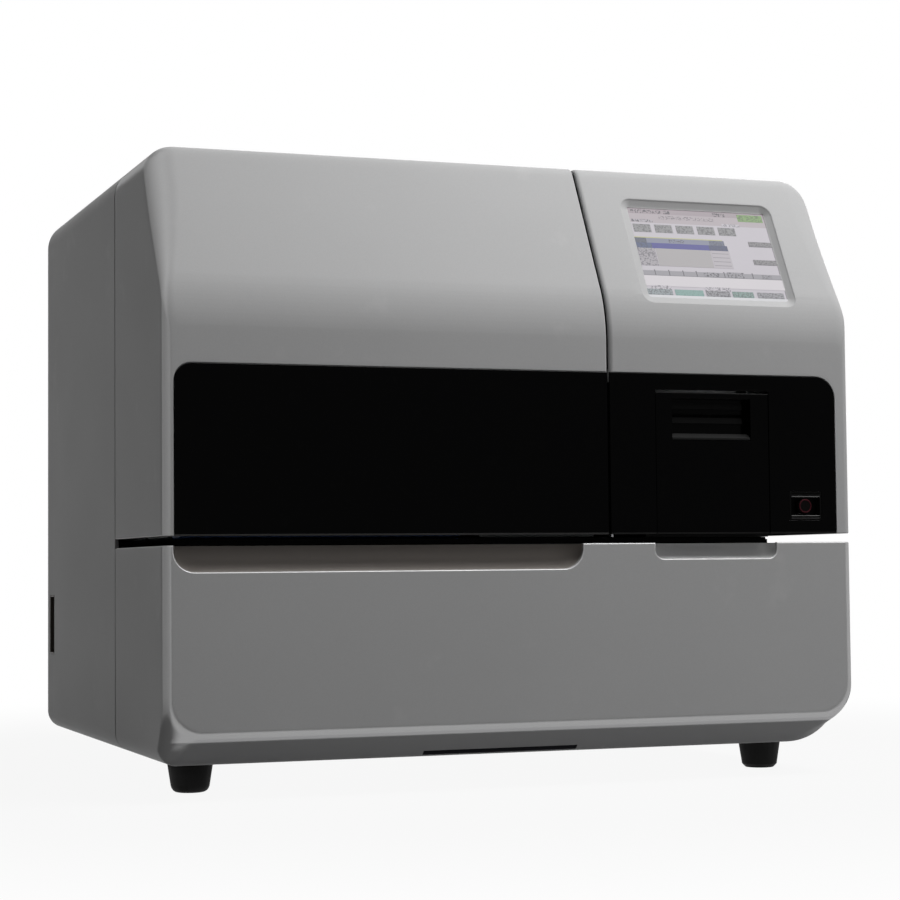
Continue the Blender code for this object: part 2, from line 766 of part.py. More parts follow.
def printer_door(paint):
    corners = [
        (FRONT, LID_BOTTOM, 0),
        (FRONT + PANEL_THICKNESS, LID_BOTTOM, 0),
        (FRONT + PANEL_THICKNESS, DOOR_TOP, 0),
        (FRONT + DOOR_CHAMFER, DOOR_TOP, 0),
        (FRONT, DOOR_TOP - DOOR_CHAMFER, 0),
    ]
    door = prism(rounded(corners), "X", DOOR_LEFT, DOOR_RIGHT)
    left = EXIT_LEFT
    right = EXIT_RIGHT
    high = DOOR_TOP - EXIT_HIGH
    low = high - EXIT_HEIGHT
    deep = FRONT + EXIT_DEPTH
    block = [
        (FRONT + PANEL_THICKNESS / 2, low - EXIT_WALL),
        (deep + EXIT_WALL, low + EXIT_DEPTH),
        (deep + EXIT_WALL, high + EXIT_WALL),
        (FRONT + PANEL_THICKNESS / 2, high + EXIT_WALL),
    ]
    recess = [
        (FRONT - OVERRUN, low),
        (FRONT, low),
        (deep, low + EXIT_DEPTH),
        (deep, high),
        (FRONT - OVERRUN, high),
    ]
    slot = 0.0025
    slot_margin = 0.004
    slot_drop = 0.012
    union(door, prism(block, "X", left - EXIT_WALL, right + EXIT_WALL))
    cut(door, prism(recess, "X", left, right))
    slot_low = (left + slot_margin, FRONT, high - slot_drop - slot)
    slot_high = (right - slot_margin, deep + EXIT_WALL + OVERRUN, high - slot_drop)
    cut(door, box(slot_low, slot_high))
    ear_width = 0.003
    ear_half = 0.0018
    pin_reach = PRINTER_CLEARANCE + PRINTER_SIDE * SPINDLE_SHARE
    ends = [(DOOR_LEFT, 1), (DOOR_RIGHT, -1)]
    for end, inward in ends:
        inner = end + inward * ear_width
        span = sorted((end, inner))
        ear_low = (span[0], FRONT + PANEL_THICKNESS / 2, DOOR_AXIS_Z - ear_half)
        ear_high = (span[1], DOOR_AXIS_Y + ear_half, DOOR_AXIS_Z + ear_half)
        union(door, box(ear_low, ear_high))
        reach = sorted((end - inward * pin_reach, end + inward * ear_width / 2))
        pin_sides = 12
        centre = (DOOR_AXIS_Y, DOOR_AXIS_Z)
        union(door, cylinder("X", centre, DOOR_PIN_RADIUS, reach[0], reach[1], pin_sides))
    pivot = ((DOOR_LEFT + DOOR_RIGHT) / 2, DOOR_AXIS_Y, DOOR_AXIS_Z)
    return finish("printer_door", door, paint, pivot)


def tear_bar(paint):
    """Steel strip on the lower lip of the paper exit."""
    low = DOOR_TOP - EXIT_HIGH - EXIT_HEIGHT
    strip = 0.0008
    reach = 0.0045
    outline = [
        (FRONT + GAP, low + GAP),
        (FRONT + reach, low + reach),
        (FRONT + reach, low + reach + strip),
        (FRONT + GAP, low + GAP + strip * 2),
    ]
    bar = prism(outline, "X", EXIT_LEFT + GAP, EXIT_RIGHT - GAP)
    lift = Matrix.Translation(Vector((0, 0, GAP)))
    pivot = ((DOOR_LEFT + DOOR_RIGHT) / 2, DOOR_AXIS_Y, DOOR_AXIS_Z)
    return finish("tear_bar", turn(bar, lift), paint, pivot)


def roll_centre():
    return FRONT + ROLL_SETBACK, DECK_TOP + PRINTER_HEIGHT * ROLL_RISE_SHARE


def platen_centre():
    return FRONT + PLATEN_SETBACK, DOOR_TOP - PLATEN_DROP


def printer_frame(paint):
    front = FRONT + PANEL_THICKNESS + GAP
    foot = FRONT + PRINTER_FOOT_SETBACK
    back = FRONT + PRINTER_DEPTH
    low = DECK_TOP + GAP
    step = LID_BOTTOM + BAND_LIP + GAP
    high = DOOR_TOP + DOOR_AXIS_DROP
    side = [(foot, low), (back, low), (back, high), (front, high), (front, step), (foot, step)]
    outer = DOOR_LEFT - PRINTER_CLEARANCE - PRINTER_SIDE
    far = DOOR_RIGHT + PRINTER_CLEARANCE + PRINTER_SIDE
    frame = prism(side, "X", outer, outer + PRINTER_SIDE)
    union(frame, prism(side, "X", far - PRINTER_SIDE, far))
    union(frame, box((outer, foot, low), (far, back, low + SHEET)))
    union(frame, box((outer, back - SHEET, low), (far, back, high)))
    head_setback = 0.0065
    head_depth = 0.008
    head_rise = 0.010
    y, z = platen_centre()
    head_low = (outer + PRINTER_SIDE / 2, y + head_setback, z - head_rise)
    head_high = (far - PRINTER_SIDE / 2, y + head_setback + head_depth, z + head_rise)
    union(frame, box(head_low, head_high))
    bore_sides = 16
    bores = [
        (roll_centre(), ROLL_SPINDLE_RADIUS),
        (platen_centre(), ROLL_SPINDLE_RADIUS),
        ((DOOR_AXIS_Y, DOOR_AXIS_Z), DOOR_PIN_RADIUS),
    ]
    for centre, radius in bores:
        bore = cylinder("X", centre, radius + GAP, outer - OVERRUN, far + OVERRUN, bore_sides)
        head = box(
            (outer + PRINTER_SIDE, FRONT, low),
            (far - PRINTER_SIDE, back, high + OVERRUN),
        )
        cut(frame, cut(bore, head))
    return finish("printer_frame", frame, paint)


def printer_roller(name, paint, centre, radius, core):
    """A roller between the printer's side plates, with its spindle in their bores."""
    left = DOOR_LEFT - PRINTER_CLEARANCE
    right = DOOR_RIGHT + PRINTER_CLEARANCE
    middle = (left + right) / 2
    end_margin = (right - left) * (1 - core) / 2
    sides = 20
    profile = [
        (ROLL_SPINDLE_RADIUS, left - PRINTER_SIDE * SPINDLE_SHARE),
        (ROLL_SPINDLE_RADIUS, left + end_margin),
        (radius, left + end_margin),
        (radius, right - end_margin),
        (ROLL_SPINDLE_RADIUS, right - end_margin),
        (ROLL_SPINDLE_RADIUS, right + PRINTER_SIDE * SPINDLE_SHARE),
    ]
    roller = turned("X", centre, profile, sides)
    return finish(name, roller, paint, (middle, centre[0], centre[1]))


def paper_roll(paint):
    width_share = 0.60
    return printer_roller("paper_roll", paint, roll_centre(), ROLL_RADIUS, width_share)


def platen_roller(paint):
    width_share = 0.72
    return printer_roller("platen_roller", paint, platen_centre(), PLATEN_RADIUS, width_share)


# Base, chassis and feet


FRONT_FOOT_INDENT = 0.0404
FRONT_FOOT_SETBACK = 0.088
REAR_FOOT_INDENT = 0.105
REAR_FOOT_SETBACK = 0.060
UPRIGHT_STEP = 0.015
UPRIGHT_DROP = 0.028
UPRIGHT_HIGH = HEIGHT - UPRIGHT_DROP
CHASSIS_SETBACK = 0.030
UPRIGHT_SETBACK = 0.058


def foot(name, paint, x, y, seat):
    """A tapered rubber foot, shaped on top to the wall or the pan that it is screwed to."""
    top_radius = 0.018
    bottom_radius = 0.0145
    heel = 0.003
    sides = 20
    profile = [
        (bottom_radius - heel, 0),
        (bottom_radius, heel),
        (top_radius, FLOOR_CLEARANCE),
        (top_radius, FLOOR_CLEARANCE + CHIN_RIGHT_RADIUS / 4),
    ]
    solid = cut(turned("Z", (x, y), profile, sides), cabinet(seat - GAP))
    return finish(name, solid, paint)


def foot_places():
    """Each foot's place, with how far in from the cabinet's outer form it is seated."""
    front_x = RIGHT - FRONT_FOOT_INDENT
    rear_x = RIGHT - REAR_FOOT_INDENT
    front_y = FRONT + FRONT_FOOT_SETBACK
    rear_y = BACK - REAR_FOOT_SETBACK
    return {
        "foot_front_left": (-front_x, front_y, 0),
        "foot_front_right": (front_x, front_y, 0),
        "foot_rear_left": (-rear_x, rear_y, PAN_INSET),
        "foot_rear_right": (rear_x, rear_y, PAN_INSET),
    }


def chassis(paint):
    """A sheet pan that nests in the covers, with a welded side plate on each side of it."""
    front = FRONT + CHASSIS_SETBACK
    back = BACK - CHASSIS_SETBACK
    pan = combine(cabinet(PAN_INSET), box((LEFT, front, 0), (RIGHT, back, PAN_RIM)), "INTERSECT")
    cut(pan, cabinet(PAN_INSET + SHEET))
    low = PAN_RIM - UPRIGHT_OVERLAP
    back = BACK - UPRIGHT_SETBACK
    step = SEAM_Y + UPRIGHT_STEP
    deck = DECK_LOW - GAP
    outline = [
        (front, low),
        (back, low),
        (back, UPRIGHT_HIGH),
        (step, UPRIGHT_HIGH),
        (step, deck),
        (front, deck),
    ]
    left = prism(outline, "X", -UPRIGHT_OUTER, -UPRIGHT_OUTER + SHEET)
    right = prism(outline, "X", UPRIGHT_OUTER - SHEET, UPRIGHT_OUTER)
    return finish("chassis", union(pan, left, right), paint)


def partition_wall(paint):
    """The plate between the measuring bay and the printer side, shaped like the covers."""
    setback = 0.004
    outline = rounded(inset_corners(side_corners(), WALL + GAP))
    plate = prism(outline, "X", PARTITION_X, PARTITION_X + SHEET)
    low = (LEFT, FRONT + WALL + setback, DECK_TOP + GAP)
    high = (RIGHT, BACK - CHASSIS_SETBACK, HEIGHT)
    return finish("partition_wall", combine(plate, box(low, high), "INTERSECT"), paint)


def bay_back_wall(paint):
    low = (BAY_LEFT + GAP, BAY_BACK, DECK_TOP + GAP)
    high = (BAY_RIGHT - GAP, BAY_BACK + SHEET, UPRIGHT_HIGH)
    return finish("bay_back_wall", box(low, high), paint)


# Deck stations: every place is set in from the bay's left wall and from the cabinet's front


SAMPLE_RACK_SHARE = 0.628
REAGENT_RACK_SHARE = 0.6166
TUBE_RACK_SHARE = 0.2398
DETECTOR_SHARE = 0.3654
BIN_SHARE = 0.2455
SAMPLE_RACK = {
    "x": 0.012,
    "y": 0.026,
    "length": BAY_WIDTH * SAMPLE_RACK_SHARE,
    "width": 0.026,
    "height": 0.052,
}
SAMPLE_TUBE_RADIUS = 0.0062
SAMPLE_TUBE_RISE = 0.020
SAMPLE_COUNT = 10
REAGENT_RACK = {
    "x": 0.012,
    "y": 0.062,
    "length": BAY_WIDTH * REAGENT_RACK_SHARE,
    "width": 0.072,
    "height": 0.026,
}
VIAL_RADIUS = 0.0125
VIAL_RISE = 0.016
REAGENT_COLUMN_COUNT = 6
REAGENT_ROW_COUNT = 2
TUBE_RACK = {
    "x": 0.012,
    "y": 0.146,
    "length": BAY_WIDTH * TUBE_RACK_SHARE,
    "width": 0.104,
    "height": 0.022,
}
TUBE_RACK_SPACING = 0.008
REACTION_TUBE_RADIUS = 0.0045
REACTION_TUBE_RISE = 0.005
TUBE_COLUMN_COUNT = 4
TUBE_ROW_COUNT = 5
DETECTOR = {
    "x": 0.012,
    "y": 0.138,
    "length": BAY_WIDTH * DETECTOR_SHARE,
    "width": 0.062,
    "height": 0.034,
}
BIN = {
    "x": 0.016,
    "y": 0.020,
    "length": BAY_WIDTH * BIN_SHARE,
    "width": 0.100,
    "depth": 0.110,
}
BIN_WALL = 0.002
BIN_FLANGE = 0.005
DECK_RIGHT_INSET = 0.076
DECK_NOTCH_DEPTH = 0.135
RACK_FLOOR = 0.004
LIFT_TRAVEL = 0.060
BIN_TRAVEL = 0.080


def station_corner(station):
    """Lower left front corner of a station on the left of the bay."""
    return BAY_LEFT + station["x"], FRONT + station["y"], DECK_TOP + GAP


def right_station_corner(station):
    """Lower left front corner of a station set in from the partition."""
    return BAY_RIGHT - station["x"] - station["length"], FRONT + station["y"], DECK_TOP + GAP


def grid(station, corner, column_count, row_count):
    """Centres of a station's holes."""
    places = []
    for column in range(column_count):
        for row in range(row_count):
            x = corner[0] + station["length"] * (column + 1 / 2) / column_count
            y = corner[1] + station["width"] * (row + 1 / 2) / row_count
            places.append((x, y))
    return places


def rack(station, corner, column_count, row_count, profile, bore, edge, sides):
    """A block with a vessel standing in each of its places.

    The profile and the bore are (radius, height over the block's base) pairs.
    """
    x, y, z = corner
    high = (x + station["length"], y + station["width"], z + station["height"])
    block = soften(box(corner, high), edge, 1)
    for place in grid(station, corner, column_count, row_count):
        if profile:
            shape = [(radius, z + level) for radius, level in profile]
            union(block, turned("Z", place, shape, sides))
        shape = [(radius, z + level) for radius, level in bore]
        cut(block, turned("Z", place, shape, sides))
    return block


def sample_rack(paint):
    """A rack of open sample tubes."""
    edge = 0.0015
    wall = 0.001
    sides = 10
    top = SAMPLE_RACK["height"] + SAMPLE_TUBE_RISE
    profile = [(SAMPLE_TUBE_RADIUS, RACK_FLOOR), (SAMPLE_TUBE_RADIUS, top)]
    inner = SAMPLE_TUBE_RADIUS - wall
    bore = [(inner, RACK_FLOOR + wall), (inner, top + OVERRUN)]
    corner = station_corner(SAMPLE_RACK)
    block = rack(SAMPLE_RACK, corner, SAMPLE_COUNT, 1, profile, bore, edge, sides)
    return finish("sample_rack", block, paint, corner)


def reagent_rack(paint):
    """A cooled rack of shouldered vials with open necks."""
    edge = 0.002
    wall = 0.002
    neck = 0.0075
    shoulder = 0.010
    lip = 0.004
    sides = 12
    top = REAGENT_RACK["height"] + VIAL_RISE
    profile = [
        (VIAL_RADIUS, RACK_FLOOR),
        (VIAL_RADIUS, top - shoulder),
        (neck, top - lip),
        (neck, top),
    ]
    bore = [
        (neck - wall, RACK_FLOOR + wall),
        (neck - wall, top + OVERRUN),
    ]
    corner = station_corner(REAGENT_RACK)
    counts = (REAGENT_COLUMN_COUNT, REAGENT_ROW_COUNT)
    block = rack(REAGENT_RACK, corner, *counts, profile, bore, edge, sides)
    return finish("reagent_rack", block, paint, corner)


def tube_rack_corner(index):
    x, y, z = station_corner(TUBE_RACK)
    return x + index * (TUBE_RACK["length"] + TUBE_RACK_SPACING), y, z


def tube_rack(name, paint, index):
    """A rack of unused reaction tubes."""
    edge = 0.0015
    wall = 0.0007
    sides = 6
    top = TUBE_RACK["height"] + REACTION_TUBE_RISE
    inner = REACTION_TUBE_RADIUS - wall
    profile = [(REACTION_TUBE_RADIUS, RACK_FLOOR), (REACTION_TUBE_RADIUS, top)]
    bore = [(inner, RACK_FLOOR + wall), (inner, top + OVERRUN)]
    corner = tube_rack_corner(index)
    counts = (TUBE_COLUMN_COUNT, TUBE_ROW_COUNT)
    block = rack(TUBE_RACK, corner, *counts, profile, bore, edge, sides)
    return finish(name, block, paint, corner)


def detector_block(paint):
    """The heated block with its reading wells and warming wells."""
    column_count = 6
    row_count = 2
    sides = 12
    edge = 0.003
    well_radius = 0.0052
    bore = [(well_radius, RACK_FLOOR), (well_radius, DETECTOR["height"] + OVERRUN)]
    corner = right_station_corner(DETECTOR)
    block = rack(DETECTOR, corner, column_count, row_count, None, bore, edge, sides)
    return finish("detector_block", block, paint)


def bin_corners(inset=0.0):
    x, y, z = right_station_corner(BIN)
    low = (x + inset, y + inset)
    high = (x + BIN["length"] - inset, y + BIN["width"] - inset)
    return low, high


def bin_ring(inset, level):
    return [(u, v, level) for u, v in rectangle(*bin_corners(inset))]


def trash_bin(paint):
    """An open bin for used tubes, hung by its flange in the deck."""
    taper = 0.004
    low, high = bin_corners()
    rim = DECK_TOP + GAP
    flange = 0.003
    floor = rim - BIN["depth"]
    body = loft([bin_ring(taper, floor), bin_ring(0, rim + flange)])
    outer = box(
        (low[0] - BIN_FLANGE, low[1] - BIN_FLANGE, rim),
        (high[0] + BIN_FLANGE, high[1] + BIN_FLANGE, rim + flange),
    )
    union(body, outer)
    hollow = loft([
        bin_ring(taper + BIN_WALL, floor + BIN_WALL),
        bin_ring(BIN_WALL, rim + flange + OVERRUN),
    ])
    pivot = (low[0], low[1], rim)
    return finish("trash_bin", cut(body, hollow), paint, pivot)


def deck_plate(paint):
    """The black plate that the stations stand on. Its front edge shows in the slot."""
    left = LEFT + DECK_INSET
    front = FRONT + DECK_INSET
    step = SEAM_Y + UPRIGHT_STEP - GAP
    inner = UPRIGHT_OUTER - SHEET - GAP
    back = BACK - CHASSIS_SETBACK
    notch = FRONT + DECK_NOTCH_DEPTH
    corner = FRONT_EDGE_RADIUS
    corners = [
        (left, front, corner),
        (RIGHT - DECK_RIGHT_INSET, front, 0),
        (RIGHT - DECK_RIGHT_INSET, notch, 0),
        (-left, notch, 0),
        (-left, step, 0),
        (inner, step, 0),
        (inner, back, 0),
        (-inner, back, 0),
        (-inner, step, 0),
        (left, step, 0),
    ]
    plate = prism(rounded(corners), "Z", DECK_LOW, DECK_TOP)
    low, high = bin_corners(-GAP)
    hole = box((low[0], low[1], DECK_LOW - OVERRUN), (high[0], high[1], DECK_TOP + OVERRUN))
    return finish("deck_plate", cut(plate, hole), paint)


# Hinge of the lid


HINGE_SETBACK = 0.0300
HINGE_DROP = 0.008
HINGE_KNUCKLE = 0.0042
HINGE_PIN = 0.0020
HINGE_PLATE = 0.006
HINGE_INDENT = 0.036
BEAM_SIZE = 0.020
BEAM_DROP = 0.055
BEAM_TOP = HEIGHT - BEAM_DROP
EAR_LENGTH = 0.030

HINGE_Y = SEAM_Y - HINGE_SETBACK
HINGE_Z = HEIGHT - HINGE_DROP


def hinge_places():
    """Where each bracket's outer face is, with the direction towards its ear."""
    right = SPLIT_X - SPLIT_GROOVE / 2 - FLANGE_THICKNESS
    return [(BAY_LEFT + HINGE_INDENT, 1), (right - HINGE_INDENT, -1)]


def hinge_frame(paint):
    """A cross beam with two welded arms that carry the hinge pins.

    The arms rise in front of the seam, out of the path of the lid's back edge.
    """
    beam = SEAM_Y + UPRIGHT_STEP
    bottom = BEAM_TOP - BEAM_SIZE
    edge = 0.002
    knuckle_sides = 20
    pin_sides = 16
    low = (BAY_LEFT + GAP, beam, bottom)
    frame = soften(box(low, (BAY_RIGHT - GAP, beam + BEAM_SIZE, BEAM_TOP)), edge, 1)
    inset = edge * 2
    for start, inward in hinge_places():
        span = sorted((start, start + inward * HINGE_PLATE))
        front = HINGE_Y - HINGE_KNUCKLE
        leg = box((span[0], front, bottom + inset), (span[1], HINGE_Y + HINGE_KNUCKLE, HINGE_Z))
        foot_bar = box((span[0], front, bottom + inset), (span[1], beam + inset, BEAM_TOP - inset))
        knuckle = cylinder("X", (HINGE_Y, HINGE_Z), HINGE_KNUCKLE, span[0], span[1], knuckle_sides)
        reach = sorted((start + inward * HINGE_PLATE / 2, start + inward * (HINGE_PLATE * 2 + GAP)))
        pin = cylinder("X", (HINGE_Y, HINGE_Z), HINGE_PIN, reach[0], reach[1], pin_sides)
        union(frame, union(leg, foot_bar, knuckle, pin))
    return finish("hinge_frame", frame, paint)


def lid_hinge_ears(paint, pivot):
    """A strip under the lid's top wall with an ear at each end that turns on a hinge pin."""
    top = HEIGHT - WALL - GAP
    knuckle_sides = 20
    bore_setback = HINGE_KNUCKLE * 2
    ends = []
    ears = []
    for start, inward in hinge_places():
        near = start + inward * (HINGE_PLATE + GAP)
        span = sorted((near, near + inward * HINGE_PLATE))
        ends += span
        arm = box((span[0], HINGE_Y - EAR_LENGTH, HINGE_Z), (span[1], HINGE_Y, top))
        knuckle = cylinder("X", (HINGE_Y, HINGE_Z), HINGE_KNUCKLE, span[0], span[1], knuckle_sides)
        start_x, end_x = span[0] - OVERRUN, span[1] + OVERRUN
        bore = cylinder("X", (HINGE_Y, HINGE_Z), HINGE_PIN + GAP, start_x, end_x, knuckle_sides)
        ears.append(cut(union(arm, knuckle), bore))
    low = (min(ends) + SHEET, HINGE_Y - EAR_LENGTH, top - SHEET)
    high = (max(ends) - SHEET, HINGE_Y - bore_setback, top)
    return finish("lid_hinge_ears", union(box(low, high), *ears), paint, pivot)


# Transport over the deck


RAIL_Y = 0.305
RAIL_DEPTH = 0.030
RAIL_DROP = 0.0797
RAIL_HEIGHT = 0.040
GUIDE_DEPTH = 0.010
GUIDE_HEIGHT = 0.014
PULLEY_RADIUS = 0.0095
PULLEY_RISE = 0.015
PULLEY_WIDTH = 0.010
BELT_THICKNESS = 0.0012
BELT_WIDTH = 0.007
MOTOR_SIZE = 0.042
MOTOR_LENGTH = 0.040
CARRIAGE_HALF = 0.035
CARRIAGE_PLATE = 0.014
CARRIAGE_PARK = 0.043
CARRIAGE_STOP = 0.001
ARM_HALF = 0.012
ARM_HEIGHT = 0.028
ARM_FRONT = 0.033
HEAD_SETBACK = 0.245
HEAD_HALF = 0.020
HEAD_WALL = 0.0045
HEAD_TRAVEL = 0.185
COLUMN_WIDTH = 0.012
COLUMN_HALF = 0.010
COLUMN_LENGTH = 0.136
COLUMN_CLEARANCE = 0.0067
PROBE_TRAVEL = 0.072
PROBE_REACH = 0.049
PROBE_RADIUS = 0.0009
FINGER_TRAVEL = 0.003

RAIL_FRONT = FRONT + RAIL_Y
RAIL_TOP = HEIGHT - RAIL_DROP
RAIL_BOTTOM = RAIL_TOP - RAIL_HEIGHT
GUIDE_MIDDLE = RAIL_BOTTOM + RAIL_HEIGHT / 2
PULLEY_Y = RAIL_FRONT + RAIL_DEPTH / 2
PULLEY_Z = RAIL_TOP + PULLEY_RISE
PULLEY_INDENT = 0.018
DRIVE_X = BAY_RIGHT - PULLEY_INDENT
IDLER_X = BAY_LEFT + PULLEY_INDENT
CARRIAGE_X = BAY_RIGHT - CARRIAGE_PARK
CARRIAGE_TRAVEL = CARRIAGE_X - CARRIAGE_HALF - CARRIAGE_STOP - BAY_LEFT
CARRIAGE_FRONT = RAIL_FRONT - GUIDE_DEPTH - CARRIAGE_PLATE
ARM_LOW = GUIDE_MIDDLE - ARM_HEIGHT / 2
HEAD_Y = FRONT + HEAD_SETBACK
COLUMN_TOP = BEAM_TOP - BEAM_SIZE - COLUMN_CLEARANCE
COLUMN_OFFSET = ARM_HALF + HEAD_WALL + COLUMN_WIDTH / 2
PROBE_X = CARRIAGE_X - COLUMN_OFFSET
CATCHER_X = CARRIAGE_X + COLUMN_OFFSET
HOLDER_DEPTH = 0.016
PROBE_Y = HEAD_Y - COLUMN_HALF - GAP - HOLDER_DEPTH / 2


def x_rail(paint):
    """The beam across the bay, with its guide strip and the idler's axle plate."""
    left = BAY_LEFT + GAP
    right = BAY_RIGHT - GAP
    axle_radius = 0.0025
    plate = 0.003
    plate_half = 0.006
    sides = 16
    beam = box((left, RAIL_FRONT, RAIL_BOTTOM), (right, RAIL_FRONT + RAIL_DEPTH, RAIL_TOP))
    guide = box(
        (left, RAIL_FRONT - GUIDE_DEPTH, GUIDE_MIDDLE - GUIDE_HEIGHT / 2),
        (right, RAIL_FRONT + GUIDE_DEPTH, GUIDE_MIDDLE + GUIDE_HEIGHT / 2),
    )
    plate_y = PULLEY_Y + PULLEY_WIDTH / 2 + GAP
    stand = box(
        (IDLER_X - plate_half, plate_y, RAIL_TOP - plate),
        (IDLER_X + plate_half, plate_y + plate, PULLEY_Z + plate_half),
    )
    axle_start = PULLEY_Y - PULLEY_WIDTH / 2
    axle_end = plate_y + plate / 2
    axle = cylinder("Y", (IDLER_X, PULLEY_Z), axle_radius, axle_start, axle_end, sides)
    return finish("x_rail", union(beam, guide, stand, axle), paint)


def x_motor(paint):
    start = RAIL_FRONT + RAIL_DEPTH + GAP
    half = MOTOR_SIZE / 2
    corner = 0.004
    low = (DRIVE_X - half, PULLEY_Z - half)
    high = (DRIVE_X + half, PULLEY_Z + half)
    outline = rectangle(low, high, corner, 2)
    shift = BAY_RIGHT - GAP - (DRIVE_X + half)
    outline = [(u + min(shift, 0), v) for u, v in outline]
    return finish("x_motor", prism(outline, "Y", start, start + MOTOR_LENGTH), paint)


def pulley(name, paint, x, bore, shaft):
    """A flanged belt pulley. The drive pulley carries its shaft, the idler has a bore."""
    flange = 0.0012
    flange_rise = 0.0010
    sides = 24
    half = PULLEY_WIDTH / 2
    core = PULLEY_RADIUS
    profile = [
        (core + flange_rise, PULLEY_Y - half),
        (core + flange_rise, PULLEY_Y - half + flange),
        (core, PULLEY_Y - half + flange),
        (core, PULLEY_Y + half - flange),
        (core + flange_rise, PULLEY_Y + half - flange),
        (core + flange_rise, PULLEY_Y + half),
    ]
    wheel = turned("Y", (x, PULLEY_Z), profile, sides)
    bore_radius = 0.0025
    if bore:
        start, stop = PULLEY_Y - PULLEY_WIDTH, PULLEY_Y + PULLEY_WIDTH
        hole = cylinder("Y", (x, PULLEY_Z), bore_radius + GAP, start, stop)
        cut(wheel, hole)
    if shaft:
        end = RAIL_FRONT + RAIL_DEPTH
        union(wheel, cylinder("Y", (x, PULLEY_Z), bore_radius, PULLEY_Y, end))
    return finish(name, wheel, paint, (x, PULLEY_Y, PULLEY_Z))


def x_belt(paint):
    """A flat loop round both pulleys."""
    inner = PULLEY_RADIUS + GAP
    outer = inner + BELT_THICKNESS

    def loop(radius):
        points = []
        turn_steps = 12
        for centre, start in ((DRIVE_X, -math.pi / 2), (IDLER_X, math.pi / 2)):
            for k in range(turn_steps + 1):
                angle = start + math.pi * k / turn_steps
                across, up = radius * math.cos(angle), radius * math.sin(angle)
                points.append((centre + across, PULLEY_Z + up))
        return points

    half = BELT_WIDTH / 2
    band = prism(loop(outer), "Y", PULLEY_Y - half, PULLEY_Y + half)
    core = prism(loop(inner), "Y", PULLEY_Y - half - OVERRUN, PULLEY_Y + half + OVERRUN)
    return finish("x_belt", cut(band, core), paint)


def x_carriage(paint):
    """A block on the guide strip, with a tab that takes the belt's lower run."""
    hook = 0.008
    reach = RAIL_FRONT - GAP * 4
    half_slot = GUIDE_HEIGHT / 2 + GAP
    tab_low = RAIL_TOP + GAP
    tab_high = PULLEY_Z - PULLEY_RADIUS - GAP - BELT_THICKNESS - GAP
    tab_half = 0.008
    top = GUIDE_MIDDLE + half_slot + hook
    outline = [
        (CARRIAGE_FRONT, GUIDE_MIDDLE - half_slot - hook),
        (reach, GUIDE_MIDDLE - half_slot - hook),
        (reach, GUIDE_MIDDLE - half_slot),
        (RAIL_FRONT - GUIDE_DEPTH - GAP, GUIDE_MIDDLE - half_slot),
        (RAIL_FRONT - GUIDE_DEPTH - GAP, GUIDE_MIDDLE + half_slot),
        (reach, GUIDE_MIDDLE + half_slot),
        (reach, top),
        (CARRIAGE_FRONT, top),
    ]
    block = prism(outline, "X", CARRIAGE_X - CARRIAGE_HALF, CARRIAGE_X + CARRIAGE_HALF)
    post = box(
        (CARRIAGE_X - tab_half, CARRIAGE_FRONT + GAP, GUIDE_MIDDLE + half_slot + hook / 2),
        (CARRIAGE_X + tab_half, CARRIAGE_FRONT + CARRIAGE_PLATE, tab_high),
    )
    tab = box(
        (CARRIAGE_X - tab_half, CARRIAGE_FRONT + GAP, tab_low),
        (CARRIAGE_X + tab_half, PULLEY_Y + BELT_WIDTH / 2, tab_high),
    )
    pivot = (CARRIAGE_X, CARRIAGE_FRONT, GUIDE_MIDDLE)
    return finish("x_carriage", union(block, post, tab), paint, pivot)


def y_arm(paint):
    edge = 0.0015
    low = (CARRIAGE_X - ARM_HALF, FRONT + ARM_FRONT, ARM_LOW)
    high = (CARRIAGE_X + ARM_HALF, CARRIAGE_FRONT - GAP, ARM_LOW + ARM_HEIGHT)
    pivot = (CARRIAGE_X, CARRIAGE_FRONT, GUIDE_MIDDLE)
    return finish("y_arm", soften(box(low, high), edge, 1), paint, pivot)


def y_carriage(paint):
    """A saddle under the arm, with a column on each side for the probe and the catcher."""
    outer = ARM_HALF + HEAD_WALL
    low = (CARRIAGE_X - outer, HEAD_Y - HEAD_HALF, ARM_LOW - HEAD_WALL)
    high = (CARRIAGE_X + outer, HEAD_Y + HEAD_HALF, ARM_LOW + ARM_HEIGHT)
    saddle = box(low, high)
    slot_low = (CARRIAGE_X - ARM_HALF - GAP, HEAD_Y - HEAD_HALF - OVERRUN, ARM_LOW - GAP)
    slot_high = (CARRIAGE_X + ARM_HALF + GAP, HEAD_Y + HEAD_HALF + OVERRUN, high[2] + OVERRUN)
    cut(saddle, box(slot_low, slot_high))
    overlap = HEAD_WALL / 2
    for side in (-1, 1):
        near = CARRIAGE_X + side * (outer - overlap)
        far = CARRIAGE_X + side * (outer + COLUMN_WIDTH)
        span = sorted((near, far))
        column_low = (span[0], HEAD_Y - COLUMN_HALF, COLUMN_TOP - COLUMN_LENGTH)
        column_high = (span[1], HEAD_Y + COLUMN_HALF, COLUMN_TOP)
        union(saddle, box(column_low, column_high))
    pivot = (CARRIAGE_X, HEAD_Y, GUIDE_MIDDLE)
    return finish("y_carriage", saddle, paint, pivot)


HOLDER_DROP = 0.041
HOLDER_HEIGHT = 0.032
HOLDER_HALF = 0.008
HOLDER_TOP = COLUMN_TOP - HOLDER_DROP
HOLDER_LOW = HOLDER_TOP - HOLDER_HEIGHT


def holder(x):
    """The block that slides on the front of a column."""
    edge = 0.001
    low = (x - HOLDER_HALF, PROBE_Y - HOLDER_DEPTH / 2, HOLDER_LOW)
    high = (x + HOLDER_HALF, PROBE_Y + HOLDER_DEPTH / 2, HOLDER_TOP)
    return soften(box(low, high), edge, 1)


